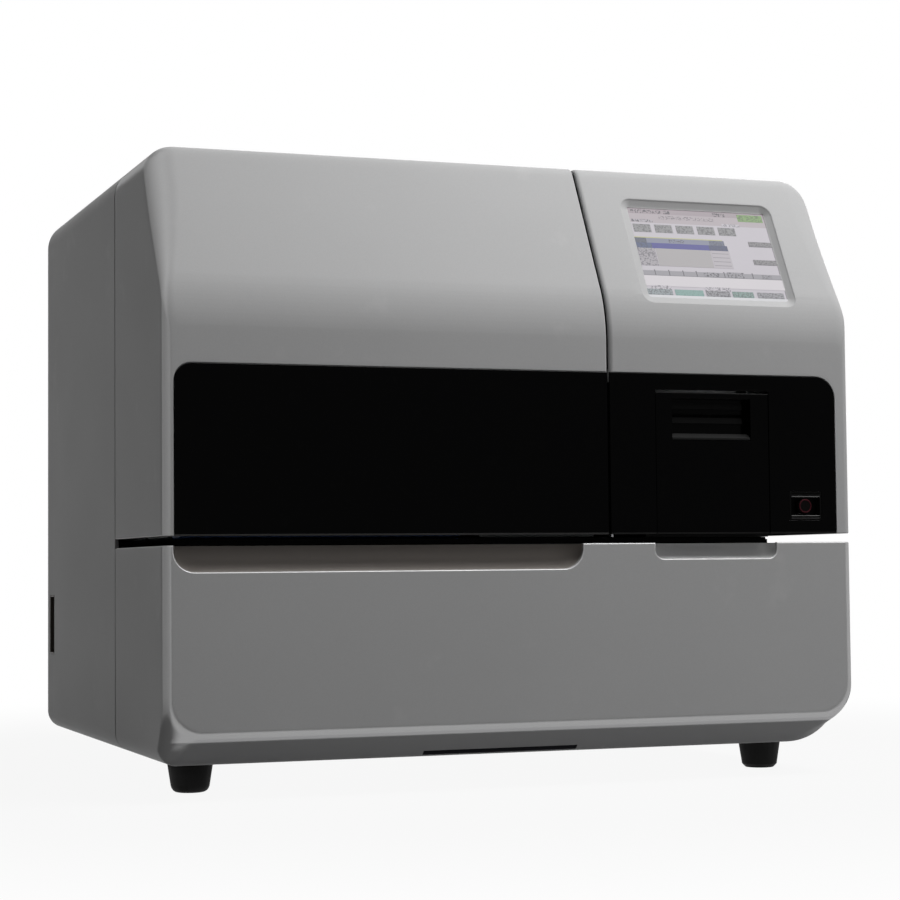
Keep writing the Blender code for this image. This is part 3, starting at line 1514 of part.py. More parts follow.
def probe_holder(paint):
    sides = 12
    block = holder(PROBE_X)
    bore = cylinder("Z", (PROBE_X, PROBE_Y), PROBE_RADIUS + GAP, DECK_TOP, HEIGHT, sides)
    return finish("probe_holder", cut(block, bore), paint, (PROBE_X, PROBE_Y, HOLDER_LOW))


def probe_needle(paint):
    """A steel tube with a fine tip, held in the bore of its holder."""
    tip = 0.0004
    taper = 0.006
    collar = 0.0025
    collar_height = 0.005
    sides = 12
    low = HOLDER_LOW - PROBE_REACH
    top = HOLDER_TOP + GAP
    profile = [
        (tip, low),
        (PROBE_RADIUS, low + taper),
        (PROBE_RADIUS, top),
        (collar, top),
        (collar, top + collar_height),
    ]
    needle = turned("Z", (PROBE_X, PROBE_Y), profile, sides)
    return finish("probe_needle", needle, paint, (PROBE_X, PROBE_Y, HOLDER_LOW))


def catcher_head(paint):
    return finish("catcher_head", holder(CATCHER_X), paint, (CATCHER_X, PROBE_Y, HOLDER_LOW))


def catcher_finger(name, paint, side):
    """One of the two fingers that grip a tube under its rim."""
    width = 0.0025
    half_depth = 0.003
    gap_half = 0.0030
    length = 0.045
    near = CATCHER_X + side * gap_half
    span = sorted((near, near + side * width))
    top = HOLDER_LOW - GAP
    low = (span[0], PROBE_Y - half_depth, top - length)
    high = (span[1], PROBE_Y + half_depth, top)
    return finish(name, box(low, high), paint, (near, PROBE_Y, top))


def rinse_station(paint):
    """A cup that the probe is washed in, under its parking place."""
    outer = 0.009
    inner = 0.0055
    height = 0.030
    floor = 0.010
    base = 0.013
    base_height = 0.003
    low = DECK_TOP + GAP
    profile = [
        (base, low),
        (base, low + base_height),
        (outer, low + base_height),
        (outer, low + height),
        (inner, low + height),
        (inner, low + floor),
    ]
    cup = turned("Z", (PROBE_X, PROBE_Y), profile)
    return finish("rinse_station", cup, paint)


# Back of the cabinet


FAN_INDENT = 0.123
FAN_DROP = 0.160
FAN_SIZE = 0.080
FAN_DEPTH = 0.025
FAN_BORE = 0.038
FAN_HUB = 0.016
INLET = {"indent": 0.108, "z": 0.115, "width": 0.048, "height": 0.028}
INLET_DEPTH = 0.022
PANEL_OUTER = BACK - REAR_PANEL_SETBACK
PANEL_INNER = PANEL_OUTER - SHEET
CONNECTORS = [
    {"indent": 0.213, "z": 0.190, "width": 0.031, "height": 0.012},
    {"indent": 0.168, "z": 0.190, "width": 0.031, "height": 0.012},
    {"indent": 0.128, "z": 0.190, "width": 0.016, "height": 0.014},
]
CONNECTOR_RISE = 0.005
FLUID_PORT_INDENT = 0.133
FLUID_PORT_PITCH = 0.040
FLUID_PORT_COUNT = 3
FLUID_PORT_Z = 0.110
FLUID_THREAD = 0.006
VENT_COUNT = 9
VENT_LENGTH = 0.090
VENT_SLOT = 0.004
VENT_PITCH = 0.010
VENT_INDENT = 0.173
VENT_DROP = 0.190

FAN_X = RIGHT - FAN_INDENT
FAN_Z = HEIGHT - FAN_DROP
VENT_X = LEFT + VENT_INDENT
VENT_Z = HEIGHT - VENT_DROP
FLUID_PORTS_X = [LEFT + FLUID_PORT_INDENT + FLUID_PORT_PITCH * k for k in range(FLUID_PORT_COUNT)]


def middle_of(piece):
    return RIGHT - piece["indent"]


def opening_for(piece, clearance=GAP):
    half = piece["width"] / 2 + clearance
    tall = piece["height"] / 2 + clearance
    x = middle_of(piece)
    low = (x - half, PANEL_INNER - OVERRUN, piece["z"] - tall)
    high = (x + half, PANEL_OUTER + OVERRUN, piece["z"] + tall)
    return box(low, high)


def rear_panel(paint):
    low, high = rear_panel_corners(GAP)
    panel = box((low[0], PANEL_INNER, low[1]), (high[0], PANEL_OUTER, high[1]))
    sides = 32
    small_sides = 12
    start = PANEL_INNER - OVERRUN
    end = PANEL_OUTER + OVERRUN
    cut(panel, *[opening_for(piece) for piece in [INLET, *CONNECTORS]])
    cut(panel, cylinder("Y", (FAN_X, FAN_Z), FAN_BORE, start, end, sides))
    for x in FLUID_PORTS_X:
        cut(panel, cylinder("Y", (x, FLUID_PORT_Z), FLUID_THREAD + GAP, start, end, small_sides))
    half = VENT_LENGTH / 2
    for k in range(VENT_COUNT):
        z = VENT_Z + VENT_PITCH * (k - (VENT_COUNT - 1) / 2)
        low = (VENT_X - half, start, z - VENT_SLOT / 2)
        high = (VENT_X + half, end, z + VENT_SLOT / 2)
        cut(panel, box(low, high))
    return finish("rear_panel", panel, paint)


def fan_frame(paint):
    half = FAN_SIZE / 2
    corner = 0.005
    sides = 32
    strut = 0.004
    strut_depth = 0.003
    back = PANEL_INNER - GAP
    front = back - FAN_DEPTH
    outline = rectangle((FAN_X - half, FAN_Z - half), (FAN_X + half, FAN_Z + half), corner, 2)
    frame = prism(outline, "Y", front, back)
    cut(frame, cylinder("Y", (FAN_X, FAN_Z), FAN_BORE, front - OVERRUN, back + OVERRUN, sides))
    inset = 0.001
    reach = half - inset
    for across, up in ((reach, strut / 2), (strut / 2, reach)):
        low = (FAN_X - across, front, FAN_Z - up)
        high = (FAN_X + across, front + strut_depth, FAN_Z + up)
        union(frame, box(low, high))
    union(frame, cylinder("Y", (FAN_X, FAN_Z), FAN_HUB, front, front + strut_depth))
    return finish("fan_frame", frame, paint)


def fan_rotor(paint):
    """A hub with seven pitched blades."""
    blades = 7
    strut_depth = 0.003
    tip_clearance = 0.0015
    thickness = 0.0016
    pitch = math.radians(35)
    back = PANEL_INNER - GAP
    low = back - FAN_DEPTH + strut_depth + GAP
    high = back - strut_depth
    rotor = cylinder("Y", (FAN_X, FAN_Z), FAN_HUB, low, high)
    blade_share = 0.75
    depth = (high - low) * blade_share
    root_share = 0.75
    for k in range(blades):
        blade = box(
            (FAN_HUB * root_share, -depth / 2, -thickness / 2),
            (FAN_BORE - tip_clearance, depth / 2, thickness / 2),
        )
        turn(blade, Matrix.Rotation(pitch, 4, "X"))
        turn(blade, Matrix.Rotation(2 * math.pi * k / blades, 4, "Y"))
        turn(blade, Matrix.Translation(Vector((FAN_X, (low + high) / 2, FAN_Z))))
        union(rotor, blade)
    return finish("fan_rotor", rotor, paint, (FAN_X, (low + high) / 2, FAN_Z))


def fan_guard(paint):
    """Wire rings on crossed wires, screwed over the fan outside the panel."""
    wire = 0.0016
    outer_radius = 0.040
    ring_shares = (1.0, 0.725, 0.45)
    sides = 20
    end_reach = 0.0024
    start = PANEL_OUTER + GAP
    stop = start + wire
    guard = None
    for share in ring_shares:
        radius = outer_radius * share
        ring = cylinder("Y", (FAN_X, FAN_Z), radius, start, stop, sides)
        core_radius = radius - wire
        core = cylinder("Y", (FAN_X, FAN_Z), core_radius, start - OVERRUN, stop + OVERRUN, sides)
        cut(ring, core)
        guard = union(guard, ring) if guard else ring
    reach = outer_radius + end_reach
    for k in range(2):
        bar = box((-reach, start, -wire / 2), (reach, start + wire, wire / 2))
        turn(bar, Matrix.Rotation(math.pi / 4 + math.pi / 2 * k, 4, "Y"))
        union(guard, turn(bar, Matrix.Translation(Vector((FAN_X, 0, FAN_Z)))))
    return finish("fan_guard", guard, paint)


def power_inlet(paint):
    """A mains inlet with its recessed socket and three blades."""
    flange = 0.002
    socket_wall = 0.009
    socket_rise = 0.005
    socket_depth = 0.016
    blade = (0.002, 0.004)
    blade_length = 0.012
    half_x = INLET["width"] / 2
    half_z = INLET["height"] / 2
    middle = middle_of(INLET)
    level = INLET["z"]
    face = PANEL_OUTER + flange
    body = box(
        (middle - half_x, face - INLET_DEPTH, level - half_z),
        (middle + half_x, face, level + half_z),
    )
    plate = box(
        (middle - half_x - flange, PANEL_OUTER + GAP, level - half_z - flange),
        (middle + half_x + flange, face, level + half_z + flange),
    )
    union(body, plate)
    low = (middle - half_x + socket_wall, face - socket_depth, level - half_z + socket_rise)
    high = (middle + half_x - socket_wall, face + OVERRUN, level + half_z - socket_rise)
    cut(body, box(low, high))
    spread = 0.0075
    middle_rise = 0.002
    for offset, rise in ((-spread, -middle_rise), (0, middle_rise), (spread, -middle_rise)):
        x = middle + offset
        z = level + rise
        blade_low = (x - blade[0] / 2, face - socket_depth - flange, z - blade[1] / 2)
        blade_high = (x + blade[0] / 2, face - socket_depth + blade_length, z + blade[1] / 2)
        union(body, box(blade_low, blade_high))
    return finish("power_inlet", body, paint)


def interface_board(paint):
    """A board behind the rear panel with the shells of three data sockets."""
    rim = 0.0015
    margin = 0.006
    thickness = 0.0016
    back = PANEL_INNER - GAP
    ends = [middle_of(piece) - piece["width"] / 2 for piece in CONNECTORS]
    ends += [middle_of(piece) + piece["width"] / 2 for piece in CONNECTORS]
    height = max(piece["height"] for piece in CONNECTORS)
    level = CONNECTORS[0]["z"]
    low = (min(ends) - margin, back - thickness, level - height / 2 - margin)
    high = (max(ends) + margin, back, level + height / 2 + margin)
    board = box(low, high)
    face = PANEL_OUTER + CONNECTOR_RISE
    for piece in CONNECTORS:
        half_x = piece["width"] / 2
        half_z = piece["height"] / 2
        x = middle_of(piece)
        low = (x - half_x, back - thickness / 2, piece["z"] - half_z)
        union(board, box(low, (x + half_x, face, piece["z"] + half_z)))
        low = (low[0] + rim, PANEL_OUTER, low[2] + rim)
        high = (x + half_x - rim, face + OVERRUN, piece["z"] + half_z - rim)
        cut(board, box(low, high))
    return finish("interface_board", board, paint)


def fluid_ports(paint):
    """Barbed hose fittings on one mounting plate, for rinse liquid and waste."""
    plate = 0.003
    margin = 0.013
    stem = 0.003
    barb = 0.004
    reach = 0.0145
    barb_shares = ((0.45, 0.5), (0.7, 0.75))
    bore = 0.0018
    sides = 12
    base = PANEL_OUTER + GAP
    low = (min(FLUID_PORTS_X) - margin, base, FLUID_PORT_Z - margin)
    high = (max(FLUID_PORTS_X) + margin, base + plate, FLUID_PORT_Z + margin)
    block = box(low, high)
    for x in FLUID_PORTS_X:
        centre = (x, FLUID_PORT_Z)
        inner_end = PANEL_INNER - FLUID_THREAD
        thread = cylinder("Y", centre, FLUID_THREAD, inner_end, base + plate / 2, sides)
        profile = [(stem, base)]
        for stem_share, barb_share in barb_shares:
            profile.append((stem, base + reach * stem_share))
            profile.append((barb, base + reach * barb_share))
        profile.append((stem, base + reach))
        union(block, thread, turned("Y", centre, profile, sides))
        cut(block, cylinder("Y", centre, bore, base, base + reach + OVERRUN, sides))
    return finish("fluid_ports", block, paint)


# Mains switch in the left wall


ROCKER_HALF_LENGTH = 0.0125
ROCKER_HALF_WIDTH = 0.0065
ROCKER_DROP = 0.019
ROCKER_SETBACK = 0.0060
ROCKER_TILT = math.radians(9)


def rocker_centre():
    low, high = switch_well_corners()
    return (low[0] + high[0]) / 2, high[1] - ROCKER_DROP


def switch_well(paint):
    """A well that sets the mains switch below the surface of the left wall."""
    wall = 0.0015
    floor = 0.002
    low, high = switch_well_corners(GAP)
    tray = box((LEFT, low[0], low[1]), (LEFT + SWITCH_WELL_DEPTH, high[0], high[1]))
    hollow = box(
        (LEFT - OVERRUN, low[0] + wall, low[1] + wall),
        (LEFT + SWITCH_WELL_DEPTH - floor, high[0] - wall, high[1] - wall),
    )
    cut(tray, hollow)
    y, z = rocker_centre()
    rim = 0.0015
    start = LEFT + ROCKER_SETBACK + rim
    bottom = LEFT + SWITCH_WELL_DEPTH - floor
    half_y = ROCKER_HALF_WIDTH + rim
    half_z = ROCKER_HALF_LENGTH + rim
    frame = box((start, y - half_y, z - half_z), (bottom + floor / 2, y + half_y, z + half_z))
    union(tray, frame)
    slack = 0.0006
    half_y = ROCKER_HALF_WIDTH + GAP
    half_z = ROCKER_HALF_LENGTH + slack
    pocket = box((start - OVERRUN, y - half_y, z - half_z), (bottom, y + half_y, z + half_z))
    return finish("switch_well", cut(tray, pocket), paint)


def power_rocker(paint):
    """A rocker that turns about a crosswise axis, at rest with its lower end pressed in."""
    y, z = rocker_centre()
    axis_x = LEFT + ROCKER_SETBACK + ROCKER_HALF_WIDTH / 2
    crown = 0.0022
    depth = 0.0020
    outline = [
        (axis_x - crown, z + ROCKER_HALF_LENGTH),
        (axis_x - crown / 2, z),
        (axis_x - crown, z - ROCKER_HALF_LENGTH),
        (axis_x, z - ROCKER_HALF_LENGTH),
        (axis_x + depth, z),
        (axis_x, z + ROCKER_HALF_LENGTH),
    ]
    rocker = prism(outline, "Y", y - ROCKER_HALF_WIDTH, y + ROCKER_HALF_WIDTH)
    place = Matrix.Translation(Vector((axis_x, y, z)))
    turn(rocker, place @ Matrix.Rotation(-ROCKER_TILT, 4, "Y") @ place.inverted())
    return finish("power_rocker", rocker, paint, (axis_x, y, z))


# Power, electronics and fluids


def power_supply(paint):
    length = 0.170
    width = 0.110
    height = 0.055
    right_indent = 0.060
    edge = 0.001
    low = (RIGHT - right_indent - width, BACK - CHASSIS_SETBACK - SHEET - length, base_level())
    high = (low[0] + width, low[1] + length - OVERRUN, low[2] + height)
    return finish("power_supply", soften(box(low, high), edge, 1), paint)


def base_level():
    return FLOOR_CLEARANCE + PAN_INSET + SHEET + GAP


def main_board(paint):
    """The circuit board on the partition, on four stand-offs, with its larger chips."""
    board = 0.0016
    stand_off = 0.005
    stand_radius = 0.003
    length = 0.180
    height = 0.200
    rise = 0.030
    setback = 0.230
    margin = 0.008
    chip_height = 0.002
    chip_shares = [(0.25, 0.70, 0.16), (0.60, 0.70, 0.22), (0.30, 0.30, 0.12), (0.70, 0.30, 0.14)]
    sides = 8
    start = PARTITION_X + SHEET + GAP
    face = start + stand_off
    low = (FRONT + setback, DECK_TOP + rise)
    plate = box((face, low[0], low[1]), (face + board, low[0] + length, low[1] + height))
    for y in (low[0] + margin, low[0] + length - margin):
        for z in (low[1] + margin, low[1] + height - margin):
            union(plate, cylinder("X", (y, z), stand_radius, start, face + board / 2, sides))
    chip_low = face + board / 2
    chip_high = face + board + chip_height
    for y_share, z_share, size_share in chip_shares:
        half = length * size_share / 2
        y = low[0] + length * y_share
        z = low[1] + height * z_share
        union(plate, box((chip_low, y - half, z - half), (chip_high, y + half, z + half)))
    return finish("main_board", plate, paint)


PUMP_X = 0.075
PUMP_SETBACK = 0.070
PUMP_WIDTH = 0.040
PUMP_DEPTH = 0.030
PUMP_HEIGHT = 0.110
BARREL_LOW_SHARE = 0.45
BARREL_HIGH_SHARE = 0.95
BARREL_RADIUS = 0.007
BARREL_WALL = 0.0015
PLUNGER_TRAVEL = 0.022


def pump_axis():
    x = BAY_LEFT + PUMP_X
    y = BACK - CHASSIS_SETBACK - PUMP_SETBACK - PUMP_DEPTH / 2 - BARREL_RADIUS - GAP
    return x, y


def syringe_pump(paint):
    """The diluter: a drive body on the base pan with a glass barrel held in two clamps."""
    x, y = pump_axis()
    low = base_level()
    barrel_low = low + PUMP_HEIGHT * BARREL_LOW_SHARE
    barrel_high = low + PUMP_HEIGHT * BARREL_HIGH_SHARE
    clamp = 0.004
    clamp_reach = 0.004
    sides = 16
    back = y + BARREL_RADIUS + GAP
    half = PUMP_WIDTH / 2
    body = box((x - half, back, low), (x + half, back + PUMP_DEPTH, low + PUMP_HEIGHT))
    barrel = cylinder("Z", (x, y), BARREL_RADIUS, barrel_low, barrel_high, sides)
    for level in (barrel_low + clamp, barrel_high - clamp * 2):
        bar = box(
            (x - BARREL_RADIUS - clamp, y - clamp_reach, level),
            (x + BARREL_RADIUS + clamp, back + clamp, level + clamp),
        )
        union(body, bar)
    union(body, barrel)
    inner = BARREL_RADIUS - BARREL_WALL
    bore = cylinder("Z", (x, y), inner, barrel_low - OVERRUN, barrel_high - clamp, sides)
    return finish("syringe_pump", cut(body, bore), paint)


def syringe_plunger(paint):
    """The piston and its rod, drawn down out of the barrel."""
    x, y = pump_axis()
    low = base_level()
    barrel_low = low + PUMP_HEIGHT * BARREL_LOW_SHARE
    piston = BARREL_RADIUS - BARREL_WALL - GAP
    rod = 0.002
    piston_height = 0.006
    knob = 0.0045
    knob_height = 0.004
    sides = 16
    start = barrel_low - PLUNGER_TRAVEL - knob_height
    piston_rise = 0.003
    top = barrel_low + piston_height + piston_rise
    profile = [
        (knob, start),
        (knob, start + knob_height),
        (rod, start + knob_height),
        (rod, top - piston_height),
        (piston, top - piston_height),
        (piston, top),
    ]
    plunger = turned("Z", (x, y), profile, sides)
    return finish("syringe_plunger", plunger, paint, (x, y, start))


def build():
    for old in list(bpy.data.objects):
        bpy.data.objects.remove(old, do_unlink=True)
    silver = material("satin_silver_paint", (0.52, 0.52, 0.52), 0.42, 0.35)
    black_gloss = material("black_gloss_acrylic", (0.005, 0.005, 0.006), 0.08)
    black_plastic = material("black_plastic", (0.012, 0.012, 0.013), 0.45)
    rubber = material("black_rubber", (0.012, 0.012, 0.012), 0.75)
    screen_glass = material("lcd_glass", (0.55, 0.57, 0.62), 0.12)
    zinc = material("zinc_sheet", (0.55, 0.56, 0.57), 0.38, 1.0)
    aluminium = material("anodised_aluminium", (0.60, 0.61, 0.62), 0.35, 1.0)
    steel = material("polished_steel", (0.65, 0.65, 0.66), 0.18, 1.0)
    white_plastic = material("white_plastic", (0.75, 0.75, 0.73), 0.40)
    grey_plastic = material("grey_plastic", (0.22, 0.23, 0.24), 0.45)
    blue_plastic = material("blue_plastic", (0.05, 0.16, 0.36), 0.40)
    belt_rubber = material("belt_rubber", (0.02, 0.02, 0.02), 0.70)
    paper = material("thermal_paper", (0.85, 0.85, 0.83), 0.80)
    board_green = material("board_green", (0.02, 0.16, 0.07), 0.40)

    lid_pivot = (SPLIT_X - LID_WIDTH / 2, HINGE_Y, HINGE_Z)
    rear_housing(silver)
    lower_front_cover(silver)
    lid_shell(silver, lid_pivot)
    lid_window(black_gloss, lid_pivot)
    lid_hinge_ears(aluminium, lid_pivot)
    display_housing(silver)
    touch_screen(screen_glass)
    right_front_panel(black_gloss)
    stop_switch_well(black_plastic)
    stop_button(black_plastic)
    printer_door(black_gloss)
    tear_bar(steel)
    printer_frame(zinc)
    paper_roll(paper)
    platen_roller(belt_rubber)
    for name, (x, y, seat) in foot_places().items():
        foot(name, rubber, x, y, seat)
    chassis(zinc)
    partition_wall(zinc)
    bay_back_wall(black_plastic)
    deck_plate(black_plastic)
    hinge_frame(zinc)
    sample_rack(blue_plastic)
    reagent_rack(grey_plastic)
    for index, side in enumerate(("left", "right")):
        tube_rack("tube_rack_" + side, white_plastic, index)
    detector_block(aluminium)
    trash_bin(grey_plastic)
    rinse_station(white_plastic)
    x_rail(aluminium)
    x_motor(black_plastic)
    pulley("drive_pulley", aluminium, DRIVE_X, False, True)
    pulley("idler_pulley", aluminium, IDLER_X, True, False)
    x_belt(belt_rubber)
    x_carriage(aluminium)
    y_arm(aluminium)
    y_carriage(grey_plastic)
    probe_holder(white_plastic)
    probe_needle(steel)
    catcher_head(white_plastic)
    catcher_finger("catcher_finger_left", steel, -1)
    catcher_finger("catcher_finger_right", steel, 1)
    rear_panel(zinc)
    fan_frame(black_plastic)
    fan_rotor(black_plastic)
    fan_guard(steel)
    power_inlet(black_plastic)
    interface_board(steel)
    fluid_ports(white_plastic)
    switch_well(black_plastic)
    power_rocker(black_plastic)
    power_supply(zinc)
    main_board(board_green)
    syringe_pump(aluminium)
    syringe_plunger(steel)


build()
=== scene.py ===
import math

import bmesh
import bpy
from mathutils import Matrix, Vector


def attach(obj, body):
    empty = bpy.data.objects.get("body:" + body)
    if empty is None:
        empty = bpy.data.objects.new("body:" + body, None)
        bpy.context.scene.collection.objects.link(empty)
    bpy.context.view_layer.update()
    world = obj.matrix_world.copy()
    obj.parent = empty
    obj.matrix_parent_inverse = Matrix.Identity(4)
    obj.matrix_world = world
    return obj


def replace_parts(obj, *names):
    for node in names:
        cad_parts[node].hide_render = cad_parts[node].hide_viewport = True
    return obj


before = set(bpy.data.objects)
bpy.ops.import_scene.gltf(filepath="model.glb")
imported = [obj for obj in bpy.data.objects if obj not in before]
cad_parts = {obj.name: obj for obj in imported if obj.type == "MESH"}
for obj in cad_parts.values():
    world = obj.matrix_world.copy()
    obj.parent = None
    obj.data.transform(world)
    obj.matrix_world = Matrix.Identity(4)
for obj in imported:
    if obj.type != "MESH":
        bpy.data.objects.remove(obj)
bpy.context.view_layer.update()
scene = bpy.context.scene
scene.view_settings.view_transform = "Standard"

# Camera
# A long lens low in front of the left half of the cabinet, a little below the deck's height.
aim_right, aim_up, roll = math.radians(20.2061), math.radians(2.9953), math.radians(-0.5372)
focal_pixels, frame_pixels, sensor_mm = 2229.243, 900, 36
flat = math.cos(aim_up)
ahead = Vector((math.sin(aim_right) * flat, math.cos(aim_right) * flat, math.sin(aim_up)))
level = Vector((math.cos(aim_right), -math.sin(aim_right), 0))
rise = level.cross(ahead)
lens_right = math.cos(roll) * level + math.sin(roll) * rise
lens_up = -math.sin(roll) * level + math.cos(roll) * rise
camera_data = bpy.data.cameras.new("camera")
camera_data.sensor_fit = "HORIZONTAL"
camera_data.sensor_width = sensor_mm
camera_data.lens = focal_pixels * sensor_mm / frame_pixels
camera_data.clip_end = 50
camera = bpy.data.objects.new("camera", camera_data)
camera.matrix_world = Matrix((lens_right, lens_up, -ahead)).transposed().to_4x4()
camera.location = (-0.6437, -1.8250, 0.1689)
scene.collection.objects.link(camera)
scene.camera = camera


# Studio
# A pale table under one wide soft box at the upper right, with weaker ones in front and
# behind, and a white surround that fades into the table.
def rgb(colour):
    """Three colour values, which may be given as one grey."""
    return colour if isinstance(colour, tuple) else (colour,) * 3


class Shade:
    """A socket in a material's nodes. Sums on it add the nodes that work them out."""

    def __init__(self, tree, socket=None):
        self.tree, self.socket = tree, socket

    def node(self, kind, settings=None, inputs=None, output=0):
        made = self.tree.nodes.new("ShaderNode" + kind)
        for name, value in (settings or {}).items():
            setattr(made, name, value)
        for name, value in (inputs or {}).items():
            if isinstance(value, Shade):
                self.tree.links.new(value.socket, made.inputs[name])
            else:
                made.inputs[name].default_value = value
        return Shade(self.tree, made.outputs[output])

    def maths(self, operation, second=0.0):
        return self.node("Math", {"operation": operation}, {0: self, 1: second})

    def __add__(self, other):
        return self.maths("ADD", other)

    def __sub__(self, other):
        return self.maths("SUBTRACT", other)

    def __rsub__(self, other):
        return self.node("Math", {"operation": "SUBTRACT"}, {0: other, 1: self})

    def __mul__(self, other):
        return self.maths("MULTIPLY", other)

    __radd__, __rmul__ = __add__, __mul__

    def axes(self):
        """The three parts of a vector."""
        return [self.node("SeparateXYZ", inputs={"Vector": self}, output=axis) for axis in "XYZ"]

    def red(self):
        return self.node("SeparateColor", inputs={"Color": self}, output="Red")

    def ramp(self, low, high):
        """0 below low, 1 above high, and smooth between them."""
        settings = {"interpolation_type": "SMOOTHSTEP"}
        return self.node("MapRange", settings, {"Value": self, "From Min": low, "From Max": high})

    def between(self, low, high, soft):
        """1 from low to high, and 0 beyond a soft width on either side."""
        return self.ramp(low - soft, low) * (1 - self.ramp(high, high + soft))

    def tint(self, first, second):
        """A colour from the first at 0 to the second at 1."""
        first, second = [c if isinstance(c, Shade) else (*rgb(c), 1) for c in (first, second)]
        return self.node("Mix", {"data_type": "RGBA"}, {"Factor": self, 6: first, 7: second}, 2)


world = bpy.data.worlds.new("studio")
world.use_nodes = True
scene.world = world
shade = Shade(world.node_tree)
seen = shade.node("LightPath", output="Is Camera Ray")
for kind in ("Glossy", "Transmission"):
    seen = seen.maths("MAXIMUM", shade.node("LightPath", output="Is %s Ray" % kind))
ambient = 0.03
background = world.node_tree.nodes["Background"]
background.inputs["Color"].default_value = (1, 1, 1, 1)
world.node_tree.links.new((ambient + seen * (1 - ambient)).socket, background.inputs["Strength"])


def soft_box(name, place, target, width, height, watts):
    """A rectangular white lamp that faces its target."""
    lamp = bpy.data.lights.new(name, "AREA")
    lamp.shape, lamp.size, lamp.size_y, lamp.energy = "RECTANGLE", width, height, watts
    holder = bpy.data.objects.new(name, lamp)
    holder.location = place
    holder.rotation_euler = (Vector(target) - Vector(place)).to_track_quat("-Z", "Y").to_euler()
    scene.collection.objects.link(holder)


soft_box("overhead", (0.72, -0.72, 1.85), (0.05, -0.10, 0.3), 1.1, 0.9, 39)
soft_box("rear_fill", (1.5, 2.0, 0.9), (0.1, 0.2, 0.25), 1.2, 1.0, 14)
soft_box("front_fill", (0.9, -2.2, 1.5), (0.1, -0.2, 0.3), 1.2, 1.0, 5)

table_mesh = bpy.data.meshes.new("table")
reach = 9
corners = [(-reach, -reach, 0), (reach, -reach, 0), (reach, reach, 0), (-reach, reach, 0)]
table_mesh.from_pydata(corners, [], [(0, 1, 2, 3)])
table = bpy.data.objects.new("table", table_mesh)
scene.collection.objects.link(table)
table_finish = bpy.data.materials.new("table")
table_finish.use_nodes = True
tree = table_finish.node_tree
shade = Shade(tree)
spot = shade.node("TexCoord", output="Object")
from_middle = shade.node("VectorMath", {"operation": "LENGTH"}, {0: spot}, "Value")
lit = shade.node("BsdfDiffuse", inputs={"Color": (*rgb(0.28), 1)})
bright = shade.node("Emission", inputs={"Color": (1, 1, 1, 1)})
camera_ray = shade.node("LightPath", output="Is Camera Ray")
glossy_ray = shade.node("LightPath", output="Is Glossy Ray")
lift = (camera_ray + glossy_ray) * (0.92 + from_middle.ramp(0.45, 1.1) * 0.08)
mixed = shade.node("MixShader", inputs={0: lift, 1: lit, 2: bright})
tree.links.new(mixed.socket, tree.nodes["Material Output"].inputs["Surface"])
table_mesh.materials.append(table_finish)


# Rear housing
# The deep moulding that wraps the back two thirds of the cabinet, in structural foam with a
# satin silver paint. It has an opening at the back for the rear panel and a port at the left.
front_y, back_y, full_depth = -0.245, 0.245, 0.490
half_width, height, clearance = 0.283, 0.490, 0.0255
slope_angle, slope_radius, brow_setback, brow_radius = math.radians(27.8), 0.095, 0.0649, 0.011
chin_top, chin_height, chin_depth, brim_radius, chin_radius = 0.048, 0.0225, 0.022, 0.009, 0.005
rear_radius, front_radius, wall = 0.020, 0.007, 0.003
slope_foot = height - brow_setback / math.tan(slope_angle)
seam_y, seam, split_x, split_groove = -0.075, 0.0015, 0.06979, 0.0020
cover_end, seam_round = seam_y - seam / 2 - front_y, 0.0006
cover_rim, lid_bottom = 0.1860, 0.1928
band_top = slope_foot - 0.0476
pan_half, pan_rim = 0.226, 0.0325


def sin(degrees):
    return math.sin(math.radians(degrees))


def cos(degrees):
    return math.cos(math.radians(degrees))


def quarter(distance, radius):
    """How far a quarter-round edge has drawn in, at a distance from its end."""
    short = min(max(radius - distance, 0), radius)
    return radius - math.sqrt(radius**2 - short**2)


def smooth(share):
    """A share of a way, eased at both ends."""
    share = min(max(share, 0), 1)
    return share * share * (3 - 2 * share)


def crest(depth):
    """Height of the top outline at a depth behind the front face."""
    if depth < slope_radius * (1 - math.cos(slope_angle)):
        start = slope_foot - slope_radius * math.tan(slope_angle / 2)
        return start + math.sqrt(slope_radius**2 - (slope_radius - depth) ** 2)
    middle = brow_setback + brow_radius * math.tan(math.pi / 4 - slope_angle / 2)
    if depth < middle - brow_radius * math.cos(slope_angle):
        return slope_foot + depth / math.tan(slope_angle)
    if depth < middle:
        return height - brow_radius + math.sqrt(brow_radius**2 - (middle - depth) ** 2)
    return height - quarter(full_depth - depth, rear_radius)


def keel(depth):
    """Height of the bottom outline at a depth behind the front face."""
    lean = math.atan2(chin_depth, chin_height)
    if depth < brim_radius * (1 - math.cos(lean)):
        start = chin_top + brim_radius * math.tan(lean / 2)
        return start - math.sqrt(brim_radius**2 - (brim_radius - depth) ** 2)
    middle = chin_depth + chin_radius * math.tan(math.pi / 4 - lean / 2)
    if depth < middle - chin_radius * math.cos(lean):
        return chin_top - depth * chin_height / chin_depth
    if depth < middle:
        return clearance + chin_radius - math.sqrt(chin_radius**2 - (middle - depth) ** 2)
    return clearance + quarter(full_depth - depth, rear_radius)


def half_at(depth):
    return half_width - quarter(depth, front_radius) - quarter(full_depth - depth, rear_radius)


def top_corner(depth):
    return 0.007 + 0.017 * smooth((crest(min(depth, 0.09)) - 0.345) / 0.120)


def low_corners(depth):
    """Radii of the lower left and right corners: the face's first, the side edge's behind."""
    chin = smooth((chin_top - keel(min(depth, 0.04))) / chin_height)
    right = 0.048 - 0.033 * smooth((depth - chin_depth) / (0.170 - chin_depth))
    return [0.026 + (edge - 0.026) * chin for edge in (0.015, right)]


